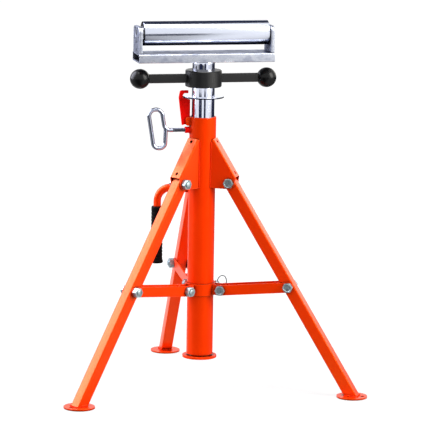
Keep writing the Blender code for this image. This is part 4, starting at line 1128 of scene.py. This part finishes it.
def floor_and_world():
    """A white floor that keeps a faint shadow, under a plain pale world."""
    material = bpy.data.materials.new("pale_floor")
    tree = bare_tree(material)
    out = tree.nodes.new("ShaderNodeOutputMaterial")
    paint = add_node(tree, "ShaderNodeBsdfDiffuse", {"Color": grey(FLOOR_GREY)}).outputs[0]
    film = add_node(tree, "ShaderNodeBsdfDiffuse", {"Color": grey(FLOOR_FILM)}).outputs[0]
    place = tree.nodes.new("ShaderNodeTexCoord").outputs["Object"]
    from_stand = add_node(tree, "ShaderNodeVectorMath", {0: place, 1: AXIS}, operation="DISTANCE")
    clearness = remapped(tree, from_stand.outputs["Value"], *FLOOR_CLEAR_REACH, *FLOOR_CLEAR)
    clear = add_node(tree, "ShaderNodeBsdfTransparent", {"Color": clearness}).outputs[0]
    share = add_node(tree, "ShaderNodeAddShader", {0: film, 1: clear}).outputs[0]
    rays, direct = seen_directly(tree)
    plain = shader_choice(tree, direct, paint, share)
    mirrored = add_node(tree, "ShaderNodeEmission", {"Color": studio_bands(tree), "Strength": BAND_LEVEL})
    above = shader_choice(tree, rays["Is Glossy Ray"], plain, mirrored.outputs[0])
    backfacing = tree.nodes.new("ShaderNodeNewGeometry").outputs["Backfacing"]
    from_below = tree.nodes.new("ShaderNodeBsdfTransparent").outputs[0]
    feed(tree, out.inputs["Surface"], shader_choice(tree, backfacing, above, from_below))
    corners = [(x * FLOOR_HALF, y * FLOOR_HALF, FLOOR_Z) for x, y in ((-1, -1), (1, -1), (1, 1), (-1, 1))]
    floor = sheet("studio_floor", corners, material)

    world = bpy.data.worlds.new("studio_world")
    bpy.context.scene.world = world
    tree = bare_tree(world)
    out = tree.nodes.new("ShaderNodeOutputWorld")
    rays, direct = seen_directly(tree)
    mirrored = remapped(tree, rays["Is Glossy Ray"], 0.0, 1.0, WORLD_DIFFUSE, WORLD_GLOSSY)
    strength = math_node(tree, "MAXIMUM", direct, mirrored)
    background = add_node(tree, "ShaderNodeBackground", {"Color": grey(1), "Strength": strength})
    feed(tree, out.inputs["Surface"], background.outputs[0])


def studio_place(angle_degrees, distance, height):
    """A spot round the stand; angle 0 is towards the camera and positive angles are to its right."""
    angle = CAMERA_AZIMUTH + math.radians(angle_degrees - 90)
    return AXIS + Vector((distance * math.cos(angle), distance * math.sin(angle), height))


LIGHT_TARGET_Z = 0.45


def soft_light(name, spot, width, height, power, colour=(1, 1, 1)):
    """A soft box aimed at the stand."""
    data = bpy.data.lights.new(name, "AREA")
    data.color = colour
    data.shape = "RECTANGLE"
    data.size, data.size_y = width, height
    data.energy = power
    aim = (AXIS + Vector((0, 0, LIGHT_TARGET_Z)) - spot).to_track_quat("-Z", "Y").to_matrix().to_4x4()
    new_object(name, data).matrix_world = Matrix.Translation(spot) @ aim


CARD_DISTANCE = 2.6
CARD_TONE = (0.022, 0.028, 0.06, 1)


def dark_card(name, angle_degrees, width_degrees, top, low=0.0):
    """A standing flag that only reflections see, for the dark bands in polished metal."""
    half = CARD_DISTANCE * math.tan(math.radians(width_degrees / 2))
    material = bpy.data.materials.new(name)
    tree = bare_tree(material)
    out = tree.nodes.new("ShaderNodeOutputMaterial")
    glow = add_node(tree, "ShaderNodeEmission", {"Color": CARD_TONE})
    feed(tree, out.inputs["Surface"], glow.outputs[0])
    obj = sheet(name, [(-half, 0, low), (half, 0, low), (half, 0, top), (-half, 0, top)], material)
    turn = Matrix.Rotation(CAMERA_AZIMUTH + math.radians(angle_degrees), 4, "Z")
    obj.matrix_world = Matrix.Translation(studio_place(angle_degrees, CARD_DISTANCE, 0)) @ turn
    obj.visible_camera = obj.visible_diffuse = obj.visible_shadow = False


bpy.context.scene.view_settings.view_transform = "Standard"
camera()
floor_and_world()
soft_light("box_left", studio_place(-104, 3.0, 2.1), 2.8, 3.4, 232, (0.95, 0.97, 1.14))
soft_light("box_right", studio_place(66, 3.0, 2.0), 2.0, 2.8, 150, (1.0, 0.98, 0.93))
soft_light("box_back_right", studio_place(147, 3.0, 1.2), 1.4, 1.4, 8, (1.0, 0.92, 0.75))
soft_light("box_top", AXIS + Vector((-0.1, -0.4, 2.9)), 1.8, 0.9, 34)
dark_card("flag_front_left", -28, 32, top=0.757)
dark_card("flag_front", 17, 19, top=0.78)
dark_card("flag_right", 112, 34, top=0.6)
dark_card("flag_back_low", 180, 106, top=0.35)
dark_card("flag_back_left", -152, 30, top=1.0)
dark_card("flag_back_high", 180, 70, low=1.9, top=15.0)
